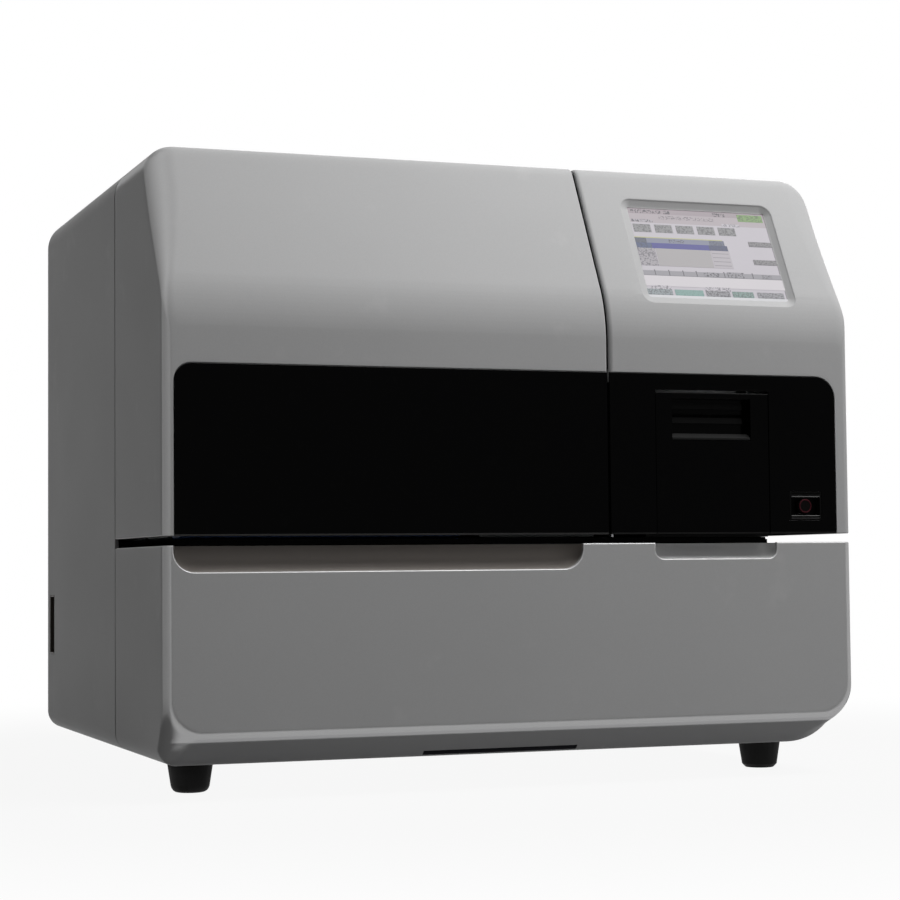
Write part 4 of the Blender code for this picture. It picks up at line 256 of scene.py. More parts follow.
def arc(centre_x, centre_z, radius, first, last, steps=14):
    turns = [first + (last - first) * k / steps for k in range(steps + 1)]
    return [(centre_x + radius * cos(a), centre_z + radius * sin(a)) for a in turns]


def depths(start, end):
    """Depths at which a cover is sectioned: close where it curves, and at its rims."""
    wanted = [front_radius * (1 - cos(9 * k)) for k in range(11)]
    wanted += [slope_radius * (1 - math.cos(slope_angle * k / 14)) for k in range(15)]
    wanted += [brim_radius * (1 - cos(44.4 * k / 7)) for k in range(8)]
    wanted += [0.002 * k for k in range(5, 13)] + [0.047 + 0.002 * k for k in range(14)]
    wanted += [full_depth - rear_radius * (1 - cos(9 * k)) for k in range(11)]
    wanted += [0.030, 0.038, 0.085, 0.10, 0.12, 0.14, 0.155, 0.25, 0.36]
    first = start + 2 * seam_round if start else 0
    inside = [d for d in wanted if first < d < end - 2 * seam_round]
    inside += [start + d for d in near(seam_round)] if start > 0 else [start]
    inside += [end - d for d in near(seam_round)] if end < full_depth else [end]
    kept = []
    for depth in sorted(inside):
        if not kept or depth - kept[-1] > 0.00003:
            kept.append(depth)
    return kept


def place(name, mesh):
    """A bmesh as an object of its own."""
    data = bpy.data.meshes.new(name)
    mesh.to_mesh(data)
    mesh.free()
    piece = bpy.data.objects.new(name, data)
    scene.collection.objects.link(piece)
    return piece


def carve(piece, cutter, operation="DIFFERENCE"):
    """Cuts one piece by another for good, or joins them into one."""
    step = piece.modifiers.new("carve", "BOOLEAN")
    step.operation, step.solver, step.object = operation, "EXACT", cutter
    graph = bpy.context.evaluated_depsgraph_get()
    data = bpy.data.meshes.new_from_object(piece.evaluated_get(graph))
    piece.modifiers.clear()
    piece.data = data
    bpy.data.objects.remove(cutter, do_unlink=True)


def loft(name, rings, capped=True):
    """Faces through rings of equally many points, turned outwards."""
    mesh = bmesh.new()
    loops = [[mesh.verts.new(p) for p in ring] for ring in rings]
    for first, second in zip(loops, loops[1:]):
        for i in range(len(first)):
            j = (i + 1) % len(first)
            mesh.faces.new((first[i], first[j], second[j], second[i]))
    if capped:
        mesh.faces.new(loops[0])
        mesh.faces.new(loops[-1])
    bmesh.ops.recalc_face_normals(mesh, faces=mesh.faces)
    return place(name, mesh)


def block(name, low, high):
    base = [(low[0], low[1]), (high[0], low[1]), (high[0], high[1]), (low[0], high[1])]
    return loft(name, [[(x, y, z) for x, y in base] for z in (low[2], high[2])])


def near(radius):
    """Distances from a rim at which its rounding is sectioned."""
    return [radius * (1 - sin(turn)) for turn in (90, 60, 35, 15, 0)]


def tangent(before, here, after):
    """The direction of a curve at a point, where its neighbours may be unevenly spaced."""
    back, on = here - before, after - here
    if back.length < 1e-9:
        return on.normalized()
    if on.length < 1e-9:
        return back.normalized()
    return back / back.length * on.length + on / on.length * back.length


def normals(rows, closed, front=False):
    """Outward directions on a grid of points. The first row may lie on the flat front face."""
    middle, found = Vector((0, 0, height / 2)), []
    for i, row in enumerate(rows):
        line = []
        for j, here in enumerate(row):
            after = row[(j + 1) % len(row)] if closed or j + 1 < len(row) else here
            before = row[j - 1] if closed or j else here
            down = tangent(rows[max(i - 1, 0)][j], here, rows[min(i + 1, len(rows) - 1)][j])
            turned = down.cross(tangent(before, here, after)).normalized()
            line.append(turned if turned.dot(here - middle) > 0 else -turned)
        found.append(line)
    if front:
        found[0] = [Vector((0, -1, 0))] * len(rows[0])
    return found


def shell(name, outer, inner, closed=False, caps=(False, False)):
    """A wall between two grids of points, closed at its rims or capped across an end."""
    mesh = bmesh.new()
    grids = [[[mesh.verts.new(p) for p in row] for row in grid] for grid in (outer, inner)]
    count = len(outer[0])
    steps = range(count if closed else count - 1)
    for grid in grids:
        for near_row, far_row in zip(grid, grid[1:]):
            for i in steps:
                j = (i + 1) % count
                mesh.faces.new((near_row[i], near_row[j], far_row[j], far_row[i]))
    for end, capped in zip((0, -1), caps):
        first, second = grids[0][end], grids[1][end]
        if capped:
            mesh.faces.new(first)
            mesh.faces.new(second)
        else:
            for i in steps:
                j = (i + 1) % count
                mesh.faces.new((first[i], first[j], second[j], second[i]))
    if not closed:
        for side in (0, -1):
            pairs = [(a[side], b[side]) for a, b in zip(*grids)]
            for first, second in zip(pairs, pairs[1:]):
                mesh.faces.new((first[0], first[1], second[1], second[0]))
            for end, capped in zip((0, -1), caps):
                if capped and side == 0:
                    low, high = [(grid[end][0], grid[end][-1]) for grid in grids]
                    mesh.faces.new((low[0], low[1], high[1], high[0]))
    bmesh.ops.recalc_face_normals(mesh, faces=mesh.faces)
    return place(name, mesh)


def walled(name, rows, rounding, closed=False, caps=(False, False)):
    """A wall of even thickness behind a grid, drawn in at its rims by their rounding."""
    turned = normals(rows, closed, front=caps[0])
    outer = [[p - n * rounding(p) for p, n in zip(*pair)] for pair in zip(rows, turned)]
    inner = [[p - n * wall for p, n in zip(*pair)] for pair in zip(rows, turned)]
    return shell(name, outer, inner, closed, caps)


def paint_over(piece, finish):
    """Gives a piece its finish, smooth shading and even normals on its flat faces."""
    piece.data.materials.clear()
    piece.data.materials.append(finish)
    for face in piece.data.polygons:
        face.material_index = 0
    piece.data.shade_smooth()
    piece.data.set_sharp_from_angle(angle=math.radians(35))
    step = piece.modifiers.new("even", "WEIGHTED_NORMAL")
    step.keep_sharp, step.weight = True, 80
    return piece


def new_finish(name, colour, roughness, **constants):
    """A material with one shader, its constant values set on the shader's own sockets."""
    made = bpy.data.materials.new(name)
    made.use_nodes = True
    shader = made.node_tree.nodes["Principled BSDF"]
    shader.inputs["Base Color"].default_value = (*rgb(colour), 1)
    shader.inputs["Roughness"].default_value = roughness
    for socket, value in constants.items():
        shader.inputs[socket.replace("_", " ")].default_value = value
    return made, Shade(made.node_tree)


def feed(finish, **links):
    shader = finish.node_tree.nodes["Principled BSDF"]
    for socket, shade in links.items():
        finish.node_tree.links.new(shade.socket, shader.inputs[socket.replace("_", " ")])
    return finish


def noise(shade, scale, detail=3, stretch=None):
    """Soft cloudy variation, at a scale in cells to the metre."""
    spot = shade.node("TexCoord", output="Object")
    if stretch:
        spot = shade.node("Mapping", inputs={"Vector": spot, "Scale": stretch})
    return shade.node("TexNoise", inputs={"Vector": spot, "Scale": scale, "Detail": detail}, output="Fac")


def cells(shade, scale):
    """One random value for each cell of a mosaic, at a scale in cells to the metre."""
    spot = shade.node("TexCoord", output="Object")
    return shade.node("TexVoronoi", inputs={"Vector": spot, "Scale": scale}, output="Color").red()


def bump(shade, heights, strength, distance):
    inputs = {"Height": heights, "Strength": strength, "Distance": distance}
    return shade.node("Bump", inputs=inputs, output="Normal")


def silver_paint(name, tone=0.44, painted_light=None):
    """Satin metallic lacquer with fine flake and a little orange peel, with painted highlights and painted
    shade where asked.
    """
    finish, shade = new_finish(name, tone, 0.40, Specular_IOR_Level=0.04)
    flake = cells(shade, 2600)
    tones = flake * 0.4 + noise(shade, 6) * 0.6
    low, high = tone * 0.93, tone * 1.07
    colour = tones.tint((low, low, low * 1.005), (high, high, high * 1.005))
    marks = noise(shade, 30, 6).ramp(0.62, 0.80) * 0.5
    colour = marks.tint(colour, tone * 1.15)
    # Painted highlight: fillets that turn to the left get a metallic sheen, standing in for the light they
    # catch.
    if painted_light:
        faced = shade.node("TexCoord", output="Normal")
        left, front, under = [axis * -1 for axis in faced.axes()]
        upright = 1 - under.maths("ABSOLUTE").ramp(0.50, 0.70)
        edge = left.ramp(0.10, 0.32) * (1 - left.ramp(0.93, 0.995)) * upright
        painted_sheen = edge * 0.35
    if painted_light == "front":
        x, y, z = shade.node("TexCoord", output="Object").axes()
        sunk = (y - front_y).ramp(0.0015, 0.0045) * z.ramp(0.160, 0.166) * x.ramp(-0.2764, -0.2756)
        edge = edge * (1 - under.ramp(0.12, 0.30)) * (1 - sunk) * z.ramp(0.045, 0.080)
        # Painted highlight along the rounded lower rim of the face and round its lower corners.
        below = z.ramp(0.0425, 0.0440) * (1 - z.ramp(0.054, 0.058))
        brim_highlight = below.maths("MAXIMUM", front.ramp(0.735, 0.79) * z.ramp(0.036, 0.042))
        brim_highlight = brim_highlight * (1 - front.ramp(0.97, 0.997)) * (1 - left.ramp(0.28, 0.52)) * (1 - sunk)
        painted_sheen = (edge * 0.35).maths("MAXIMUM", brim_highlight * (0.45 + under.ramp(0.0, 0.3) * 0.35))
        # Painted shade: faces turned down under the chin are painted darker.
        colour = under.ramp(0.62, 0.70).tint(colour, (0.36, 0.36, 0.365))
        # Painted shade inside the left scoop, and painted light inside the right scoop.
        shaded_left_scoop = sunk * (1 - x.ramp(0.05, 0.08))
        lit_right_scoop = sunk * x.ramp(0.08, 0.10) * (1 - x.ramp(0.2150, 0.2156))
        # Painted shade: the surfaces in and round the slot through the chin are painted near black.
        slot = x.between(-0.0790, 0.0470, 0.0003) * z.between(0.0268, 0.0300, 0.0002)
        colour = shaded_left_scoop.tint(colour, (0.30, 0.275, 0.255))
        colour = slot.tint(lit_right_scoop.tint(colour, 0.72), (0.012, 0.012, 0.015))
    # The painted highlights go in as metallic sheen.
    if painted_light:
        feed(finish, Metallic=painted_sheen)
    rough = 0.36 + noise(shade, 14, 5) * 0.07 + flake * 0.02 - marks * 0.05
    peel = noise(shade, 700, 2)
    return feed(finish, Base_Color=colour, Roughness=rough, Normal=bump(shade, peel, 0.06, 0.0004))


def ring_section(depth):
    """The whole outline of the cabinet at one depth, as a closed loop."""
    half, low, high = half_at(depth), keel(depth), crest(depth)
    top, (left, right) = top_corner(depth), low_corners(depth)
    loop = arc(-half + left, low + left, left, 180, 270)
    loop += [(-half + left + (2 * half - left - right) * k / 4, low) for k in (1, 2, 3)]
    loop += arc(half - right, low + right, right, 270, 360)
    loop += [(half, low + right + (high - top - low - right) * k / 3) for k in (1, 2)]
    loop += arc(half - top, high - top, top, 0, 90)
    loop += [(x * (half - top), high) for x in (0.5, 0, -0.5)]
    loop += arc(-half + top, high - top, top, 90, 180)
    loop += [(-half, low + left + (high - top - low - left) * k / 3) for k in (2, 1)]
    return loop


housing_start = seam_y + seam / 2 - front_y
rows = [[Vector((x, front_y + d, z)) for x, z in ring_section(d)] for d in depths(housing_start, full_depth)]
rear_housing = walled(
    "rear_housing_shell",
    rows,
    lambda p: quarter(p.y - seam_y - seam / 2, seam_round),
    closed=True,
    caps=(False, True),
)
panel_low, panel_high = (-0.250, 0.060), (0.250, 0.458)
panel_face = back_y - 0.016
ledge = 0.008


def panel_block(name, grow, start, end):
    """A block over the rear panel's place, grown all round, between two depths."""
    low = (panel_low[0] - grow, start, panel_low[1] - grow)
    return block(name, low, (panel_high[0] + grow, end, panel_high[1] + grow))


carve(rear_housing, panel_block("rim", wall, panel_face - 0.0043, back_y - 0.001), "UNION")
carve(rear_housing, panel_block("rebate", 0, panel_face - 0.0023, 0.3))
carve(rear_housing, panel_block("through", -ledge, 0.2, 0.3))
carve(rear_housing, block("switch_port", (-0.3, 0.1935, 0.093), (-0.27, 0.2166, 0.1466)))
carve(rear_housing, block("pan_opening", (-pan_half, -0.2, -0.01), (pan_half, 0.216, pan_rim)))
paint_over(rear_housing, silver_paint("rear_housing_silver"))
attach(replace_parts(rear_housing, "rear_housing"), "cabinet")


# Lower front cover
# One moulding round the front below the deck, with a chin that tucks under. Two finger
# scoops are sunk in its rim, one under the lid and one under the printer door.
def lower_section(depth):
    half, low, (left, right) = half_at(depth), keel(depth), low_corners(depth)
    top = cover_rim + 0.004
    loop = [(-half, top + (low + left - top) * k / 4) for k in range(4)]
    loop += arc(-half + left, low + left, left, 180, 270)
    loop += [(-half + left + (2 * half - left - right) * k / 4, low) for k in (1, 2, 3)]
    loop += arc(half - right, low + right, right, 270, 360)
    return loop + [(half, top + (low + right - top) * k / 4) for k in (3, 2, 1, 0)]


def rim_cutter(level, lip):
    """Cuts the covers off at a level, with a rounded edge all round the front."""
    track = [((-half_width, -0.06), 180)]
    for turn in range(0, 91, 9):
        x, y = -half_width + front_radius * (1 - cos(turn)), front_y + front_radius * (1 - sin(turn))
        track.append(((x, y), 180 + turn))
    track += [((-x, y), 540 - turn) for (x, y), turn in reversed(track)]
    profile = [(-0.0055, 0.010), (-0.0055, 0)]
    profile += [(lip * (sin(turn) - 0.99), lip * (cos(turn) - 1)) for turn in (0, 22, 45, 68, 92)]
    profile += [(0.002, -lip * 1.035), (0.002, 0.010)]
    rings = []
    for (x, y), turn in track:
        rings.append([(x + cos(turn) * n, y + sin(turn) * n, level + rise) for n, rise in profile])
    return loft("rim_cutter", rings)


def scoop(left, right, drop, corner, grow, tuck, depth):
    """One section of a finger scoop, grown at its mouth and drawn in at its back."""
    low, rest = cover_rim - drop, corner + grow - tuck / 2
    left, right, low = left - grow + tuck, right + grow - tuck, low - grow + tuck
    loop = [(left, cover_rim + 0.02)] + arc(left + rest, low + rest, rest, 180, 270, 10)
    loop += arc(right - rest, low + rest, rest, 270, 360, 10) + [(right, cover_rim + 0.02)]
    return [(x, front_y + depth, z) for x, z in loop]


rows = [[Vector((x, front_y + d, z)) for x, z in lower_section(d)] for d in depths(0, cover_end)]
lower_cover = walled(
    "lower_cover_shell", rows, lambda p: quarter(cover_end + front_y - p.y, seam_round), caps=(True, False)
)
carve(lower_cover, rim_cutter(cover_rim, 0.0011))
scoops = [(-0.2755, 0.04679, 0.0195, 0.016), (0.10849, 0.2148, 0.0125, 0.007)]
reach, cove, lip, skin = 0.0145, 0.010, 0.0011, 0.0024
stages = [(lip, 0, -0.004), (lip, 0, 0.0)]
stages += [(lip * (1 - sin(turn)), 0, lip * (1 - cos(turn))) for turn in (22, 45, 67, 90)]
for turn in range(0, 91, 15):
    short = cove * (1 - sin(turn))
    stages.append((0, quarter(short, cove), reach - short))
for left, right, drop, corner in scoops:
    low = (left - skin, front_y + 0.0015, cover_rim - drop - skin)
    high = (right + skin, front_y + reach + skin, cover_rim - 0.0004)
    carve(lower_cover, block("behind", low, high), "UNION")
for left, right, drop, corner in scoops:
    rings = [scoop(left, right, drop, corner, *stage) for stage in stages]
    carve(lower_cover, loft("scoop", rings))
carve(lower_cover, block("pan_opening", (-pan_half, front_y + 0.031, -0.01), (pan_half, 0, pan_rim)))
slot_low, slot_high = (-0.079, front_y - 0.01, 0.0268), (0.047, front_y + 0.0205, 0.0300)
carve(lower_cover, block("chin_slot", slot_low, slot_high))
# The lower cover gets painted highlights along its edges and painted shade under the chin and in its
# recesses.
paint_over(lower_cover, silver_paint("lower_cover_silver", 0.42, "front"))
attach(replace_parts(lower_cover, "lower_front_cover"), "cabinet")


# Lid shell
# The light-tight lid over the measuring bay, in the same painted moulding, with a flange down
# its right edge. It turns up on two ears at the back of its top.
gap_round = 0.0008


def across(sign, inner, edge, high, corner, low, width):
    """A path from the groove along the top, round the corner and down to the gap."""
    span = sign * (edge - corner) - inner
    loop = [(inner + sign * d, high) for d in near(width)]
    loop += [(inner + span * k, high) for k in (0.12, 0.4, 0.7)]
    loop += [(sign * (edge - corner + x), z) for x, z in arc(0, high - corner, corner, 90, 0, 12)]
    loop += [(sign * edge, low + (high - corner - low) * k) for k in (0.75, 0.5, 0.25, 0.08)]
    return loop + [(sign * edge, low + d) for d in reversed(near(gap_round))]


def upper_cover(name, sign, inner, band_edge, band_corner, edge_width):
    """A cover over the deck: its outside, the rebate for the black panel, and its inside."""
    groove_round = 0.0024

    def rounding(p):
        split, gap, back = sign * (p.x - inner), p.z - lid_bottom, cover_end + front_y - p.y
        at_groove = quarter(split * groove_round / edge_width, groove_round)
        return max(at_groove, quarter(gap, gap_round), quarter(back, seam_round))

    def path(depth, edge, high, corner):
        line = across(sign, inner, edge, high, corner, lid_bottom, edge_width)
        return [Vector((x, front_y + depth, z)) for x, z in line]

    rows = [path(d, half_at(d), crest(d), top_corner(d)) for d in depths(0, cover_end)]
    turned = normals(rows, False, front=True)
    steps = []
    for share in (0.55, 0.12):
        edge = band_edge + (half_at(0) - band_edge) * share
        high = band_top + (crest(0) - band_top) * share
        steps.append((path(0, edge, high, band_corner + (0.007 - band_corner) * share), 0, wall))
    for grow, sunk in ((0.0003, 0), (0.0001, 0.0001), (0, 0.0003), (0, 0.0018), (-0.008, 0.0018)):
        line = path(0, band_edge + grow, band_top + grow, max(band_corner + grow, 0.002))
        steps.append((line, sunk, 0.0048))
    outer, inner_rows = [], []
    for line, sunk, back in reversed(steps):
        outer.append([p + Vector((0, max(sunk, rounding(p)), 0)) for p in line])
        inner_rows.append([p + Vector((0, back, 0)) for p in line])
    outer += [[p - n * rounding(p) for p, n in zip(*pair)] for pair in zip(rows, turned)]
    inner_rows += [[p - n * wall for p, n in zip(*pair)] for pair in zip(rows, turned)]
    return shell(name, outer, inner_rows)


def flange(name, start_x, end_x):
    """The wall that closes a cover's end along the groove, 15 mm deep."""
    spots = [(front_y + d, crest(d)) for d in depths(0, cover_end) if d > 0]
    spots = [Vector(p) for p in [(front_y, lid_bottom), (front_y, 0.30)] + spots]
    outer, inner = [], []
    for k, here in enumerate(spots):
        along = (spots[min(k + 1, len(spots) - 1)] - spots[max(k - 1, 0)]).normalized()
        inward = Vector((along.y, -along.x))
        outer.append(here + inward * 0.0018)
        inner.append(here + inward * 0.0165)
    outline = outer + inner[::-1]
    return loft(name, [[(x, y, z) for y, z in outline] for x in (start_x, end_x)])


lid_end = split_x - split_groove / 2
window_left, window_corner = -0.275, 0.013
lid_shell = upper_cover("lid_cover", -1, lid_end, -window_left, window_corner, 0.0016)
# The lid's left-facing edges get a painted highlight.
paint_over(lid_shell, silver_paint("lid_silver", painted_light="left"))
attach(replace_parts(lid_shell, "lid_shell"), "lid")
lid_flange = flange("lid_flange", lid_end - 0.0026, lid_end - 0.0002)
# Painted shade: the flanges are coloured near black so that the groove beside them reads dark.
flange_painted_shade = silver_paint("flange_painted_shade", 0.006)
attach(paint_over(lid_flange, flange_painted_shade), "lid")

# Display housing
# The fixed cover over the printer and the electronics. A funnel in its slope holds the touch
# screen, and a rebate in its face takes the black panel.
display_start = split_x + split_groove / 2
panel_right, panel_corner = 0.2695, 0.0175
display = upper_cover("display_cover", 1, display_start, panel_right, panel_corner, 0.0036)
up = Vector((0, math.sin(slope_angle), math.cos(slope_angle)))
out = Vector((0, -math.cos(slope_angle), math.sin(slope_angle)))
tilt = Matrix((Vector((1, 0, 0)), up, out)).transposed().to_4x4()
slope = Matrix.Translation((0, front_y, slope_foot)) @ tilt
screen_low, screen_high = (0.1045, 0.0095), (0.2400, 0.1105)


def screen_ring(inset, corner, lift):
    """A rounded rectangle round the screen, at a height over the slope."""
    shares = (1.0, 0.70, 1.21, 0.77) if inset > 0 else (1, 1, 1, 1)
    left, right = screen_low[0] + inset * shares[0], screen_high[0] - inset * shares[1]
    low, high = screen_low[1] + inset * shares[2], screen_high[1] - inset * shares[3]
    loop = []
    for u, v, first in ((left, low, 180), (right, low, 270), (right, high, 0), (left, high, 90)):
        u, v = u + corner * (1 if u == left else -1), v + corner * (1 if v == low else -1)
        loop += arc(u, v, corner, first, first + 90, 6)
    return [slope @ Vector((u, v, lift)) for u, v in loop]


recess, frame_width, lip = 0.0037, 0.0066, 0.0012
carve(display, loft("bezel", [screen_ring(-0.003, 0.003, lift) for lift in (-0.0085, -0.0026)]), "UNION")
stages = [(-lip, 0.0102, 0.004), (-lip, 0.0102, 0.0)]
stages += [(-lip * (1 - sin(turn)), 0.0095, -lip * 0.8 * (1 - cos(turn))) for turn in (25, 50, 75)]
stages += [(0.0006, 0.0090, -0.0011), (0.0050, 0.0052, -0.0031), (0.0060, 0.0040, -0.0035)]
stages.append((frame_width, 0.0030, -recess))
carve(display, loft("funnel", [screen_ring(*stage) for stage in reversed(stages)]))
carve(display, loft("port", [screen_ring(0.0070, 0.0006, lift) for lift in (-0.012, 0.001)]))
paint_over(display, silver_paint("display_silver"))
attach(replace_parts(display, "display_housing"), "cabinet")
display_flange = flange("display_flange", display_start + 0.0002, display_start + 0.0026)
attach(paint_over(display_flange, flange_painted_shade), "cabinet")

# Lid window
# Smoked acrylic sheet that reads black from outside, let into the lid's face on foam tape.
# Its rim is sawn and polished to a narrow bevel, and the bevel's faces that turn up or down are painted
# paler as a highlight.
def band(left, right, low, high, left_corner, right_corner):
    """Outline of a black panel, rounded at its outer top corner."""
    loop = [(left, low), (right, low)]
    if right_corner:
        loop += arc(right - right_corner, high - right_corner, right_corner, 0, 90, 12)
    else:
        loop.append((right, high))
    if left_corner:
        loop += arc(left + left_corner, high - left_corner, left_corner, 90, 180, 12)
    else:
        loop.append((left, high))
    return loop


def bevelled(name, left, right, low, high, left_corner, right_corner, top_bevel=0.0004):
    """A black panel 1.5 mm thick with a wide bevel along its lower edge."""
    rings, fine, foot = [], 0.0004, 0.0013
    for sunk in (0, fine, foot, 0.0015):
        inset, lift, fall = max(fine - sunk, 0), max(foot - sunk, 0), max(top_bevel - sunk, 0)
        corners = [max(c - inset, 0) for c in (left_corner, right_corner)]
        loop = band(left + inset, right - inset, low + lift, high - fall, *corners)
        rings.append([(x, front_y + sunk, z) for x, z in loop])
    return loft(name, rings)


def black_gloss(name, edge=0.085):
    """Black acrylic with a faint film of dust, and sawn bevels painted paler where they face up or down, a
    painted highlight.
    """
    finish, shade = new_finish(name, 0.003, 0.16, Specular_IOR_Level=0.02)
    rising = shade.node("TexCoord", output="Normal").axes()[2]
    # Painted highlight: bevels that face up or down take the paler edge colour.
    sawn_and_highlit = rising.maths("ABSOLUTE").ramp(0.25, 0.50)
    dust = noise(shade, 90, 8).ramp(0.55, 0.85)
    face = dust.tint((0.0006, 0.0006, 0.0007), 0.0014)
    grain = noise(shade, 500, 4)
    colour = sawn_and_highlit.tint(face, grain.tint(edge * 0.8, edge * 1.2))
    rough = 0.12 + dust * 0.12 + sawn_and_highlit * 0.25
    return feed(finish, Base_Color=colour, Roughness=rough, Normal=bump(shade, grain, 0.05, 0.0002))


clear = 0.0003
black_top, corner = band_top - clear, window_corner - clear
window = bevelled("window", window_left + clear, lid_end, lid_bottom, black_top, corner, 0)
paint_over(window, black_gloss("smoked_black"))
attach(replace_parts(window, "lid_window"), "lid")

# Right front panel
# A black acrylic sheet over the printer, cut out for the paper door and the stop switch. It
# is glued in the rebate of the display housing.
door_left, door_right, door_top, doorway_gap = 0.110, 0.209, 0.3045, 0.0018
corner = panel_corner - clear
panel = bevelled("panel", display_start, panel_right - clear, lid_bottom, black_top, 0, corner)
doorway = (door_left - 0.0005, -0.3, 0.18), (door_right + 0.0005, 0, door_top + doorway_gap)
carve(panel, block("doorway", *doorway))
carve(panel, block("stop_opening", (0.2265, -0.3, 0.2031), (0.256, 0, 0.2266)))
paint_over(panel, black_gloss("panel_black", edge=0.03))
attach(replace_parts(panel, "right_front_panel"), "cabinet")

# Printer door
# A black moulded door over the paper, hinged on two pins at its top corners. The paper comes
# out through a slot in its recess, over louvres and a black serrated tear bar.
exit_left, exit_right, exit_low, exit_high = 0.124, 0.193, 0.2665, 0.3000
exit_back = front_y + 0.0085
door = bevelled("door", door_left, door_right, lid_bottom, door_top, 0, 0, top_bevel=0.0007)


def prism(name, outline, start, end):
    """A solid of even section along X, from its outline in Y and Z."""
    return loft(name, [[(x, y, z) for y, z in outline] for x in (start, end)])


tray = [(front_y + 0.0008, exit_low - 0.0015), (exit_back + 0.0015, exit_low - 0.0008)]
tray += [(exit_back + 0.0015, exit_high + 0.0015), (front_y + 0.0008, exit_high + 0.0015)]
carve(door, prism("tray", tray, exit_left - 0.0015, exit_right + 0.0015), "UNION")
hollow = [(front_y - 0.01, exit_low), (front_y, exit_low), (exit_back, exit_low + 0.0007)]
hollow += [(exit_back, exit_high), (front_y - 0.01, exit_high)]
carve(door, prism("hollow", hollow, exit_left, exit_right))
slot = (exit_left + 0.004, front_y + 0.005, 0.2855), (exit_right - 0.004, front_y + 0.02, 0.2880)
carve(door, block("slot", *slot))
pin_y, pin_z, ear = -0.2412, 0.3021, 0.0018
for near_x, far_x in ((door_left, door_left + 0.003), (door_right - 0.003, door_right)):
    low = (near_x, front_y + 0.0008, pin_z - ear)
    carve(door, block("ear", low, (far_x, pin_y + ear, pin_z + ear)), "UNION")
for near_x, far_x in ((door_left - 0.0038, door_left + 0.0015), (door_right - 0.0015, door_right + 0.0038)):
    carve(door, prism("pin", arc(pin_y, pin_z, 0.0009, 0, 345, 23), near_x, far_x), "UNION")
paint_over(door, black_gloss("door_black", edge=0.022))
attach(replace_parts(door, "printer_door"), "printer_door")


def vary(share, colour, low, high, most=1.0):
    """A colour that runs between two multiples of itself."""
    return share.tint(*[tuple(min(c * k, most) for c in colour) for k in (low, high)])


def moulded(name, colour, roughness=0.5, grain=0.4, specular=0.4):
    """Moulded plastic with a fine spark-eroded texture, a little uneven in tone and gloss."""
    finish, shade = new_finish(name, colour, roughness, Specular_IOR_Level=specular)
    colours = vary(noise(shade, 25, 4), colour, 0.90, 1.10)
    scuff = noise(shade, 160, 7).ramp(0.64, 0.82) * 0.4
    colours = scuff.tint(colours, tuple(min(c * 1.3 + 0.01, 0.9) for c in colour))
    rough = roughness - 0.05 + noise(shade, 60, 4) * 0.1 + scuff * 0.08
    relief = bump(shade, noise(shade, 1600, 2), grain, 0.0001)
    return feed(finish, Base_Color=colours, Roughness=rough, Normal=relief)


def joined(name, parts):
    """Several closed parts as one piece."""
    mesh = bmesh.new()
    for part in parts:
        mesh.from_mesh(part.data)
        bpy.data.objects.remove(part, do_unlink=True)
    return place(name, mesh)


slats = []
heights = [(0.2915, 0.2968, 0.0012), (0.2802, 0.2850, 0.0014)]
heights += [(0.2710, 0.2718, 0.0050), (0.2690, 0.2697, 0.0044)]
for low, high, proud in heights:
    slat = [(exit_back - proud, low + 0.0003), (exit_back + 0.0004, low)]
    slat += [(exit_back + 0.0004, high), (exit_back - proud * 0.4, high - 0.0002)]
    short = 0.006 if low < 0.275 else 0.003
    slats.append(prism("slat", slat, exit_left + 0.0006, exit_right - 0.0006 - short))
louvres = joined("louvres", slats)
paint_over(louvres, moulded("louvre_black", (0.005, 0.005, 0.005), 0.45, specular=0.02))
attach(louvres, "printer_door")


def metal(name, colour, roughness=0.32, lines=(1, 1, 40), metallic=0.9):
    """Bare metal with fine drawn lines, and slightly duller where it is handled."""
    finish, shade = new_finish(name, colour, roughness, Metallic=metallic)
    drawn = noise(shade, 120, 6, stretch=lines)
    colours = vary(drawn, colour, 0.88, 1.08, 0.95)
    dull = noise(shade, 22, 5).ramp(0.45, 0.75)
    rough = roughness - 0.04 + drawn * 0.10 + dull * 0.08
    return feed(finish, Base_Color=colours, Roughness=rough, Normal=bump(shade, drawn, 0.08, 0.0002))


def dress(finish, *names, edge=0.0003, turn=38):
    """Gives solids of the frame their finish, eased edges and smooth round faces."""
    for name in names:
        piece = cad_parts[name]
        piece.data.materials.clear()
        piece.data.materials.append(finish)
        piece.data.shade_smooth()
        weld = piece.modifiers.new("weld", "WELD")
        weld.merge_threshold = 0.00001
        flats = piece.modifiers.new("flats", "DECIMATE")
        flats.decimate_type, flats.angle_limit = "DISSOLVE", math.radians(1)
        ease = piece.modifiers.new("eased_edges", "BEVEL")
        ease.width, ease.segments, ease.limit_method, ease.angle_limit = edge, 2, "ANGLE", math.radians(turn)
        even = piece.modifiers.new("even", "WEIGHTED_NORMAL")
        even.keep_sharp, even.weight = True, 80


dress(moulded("tear_black", (0.014, 0.014, 0.014), 0.45, specular=0.03), "tear_bar", edge=0.0001)
dress(moulded("printer_black", (0.012, 0.012, 0.012), 0.5, specular=0.1), "printer_frame")

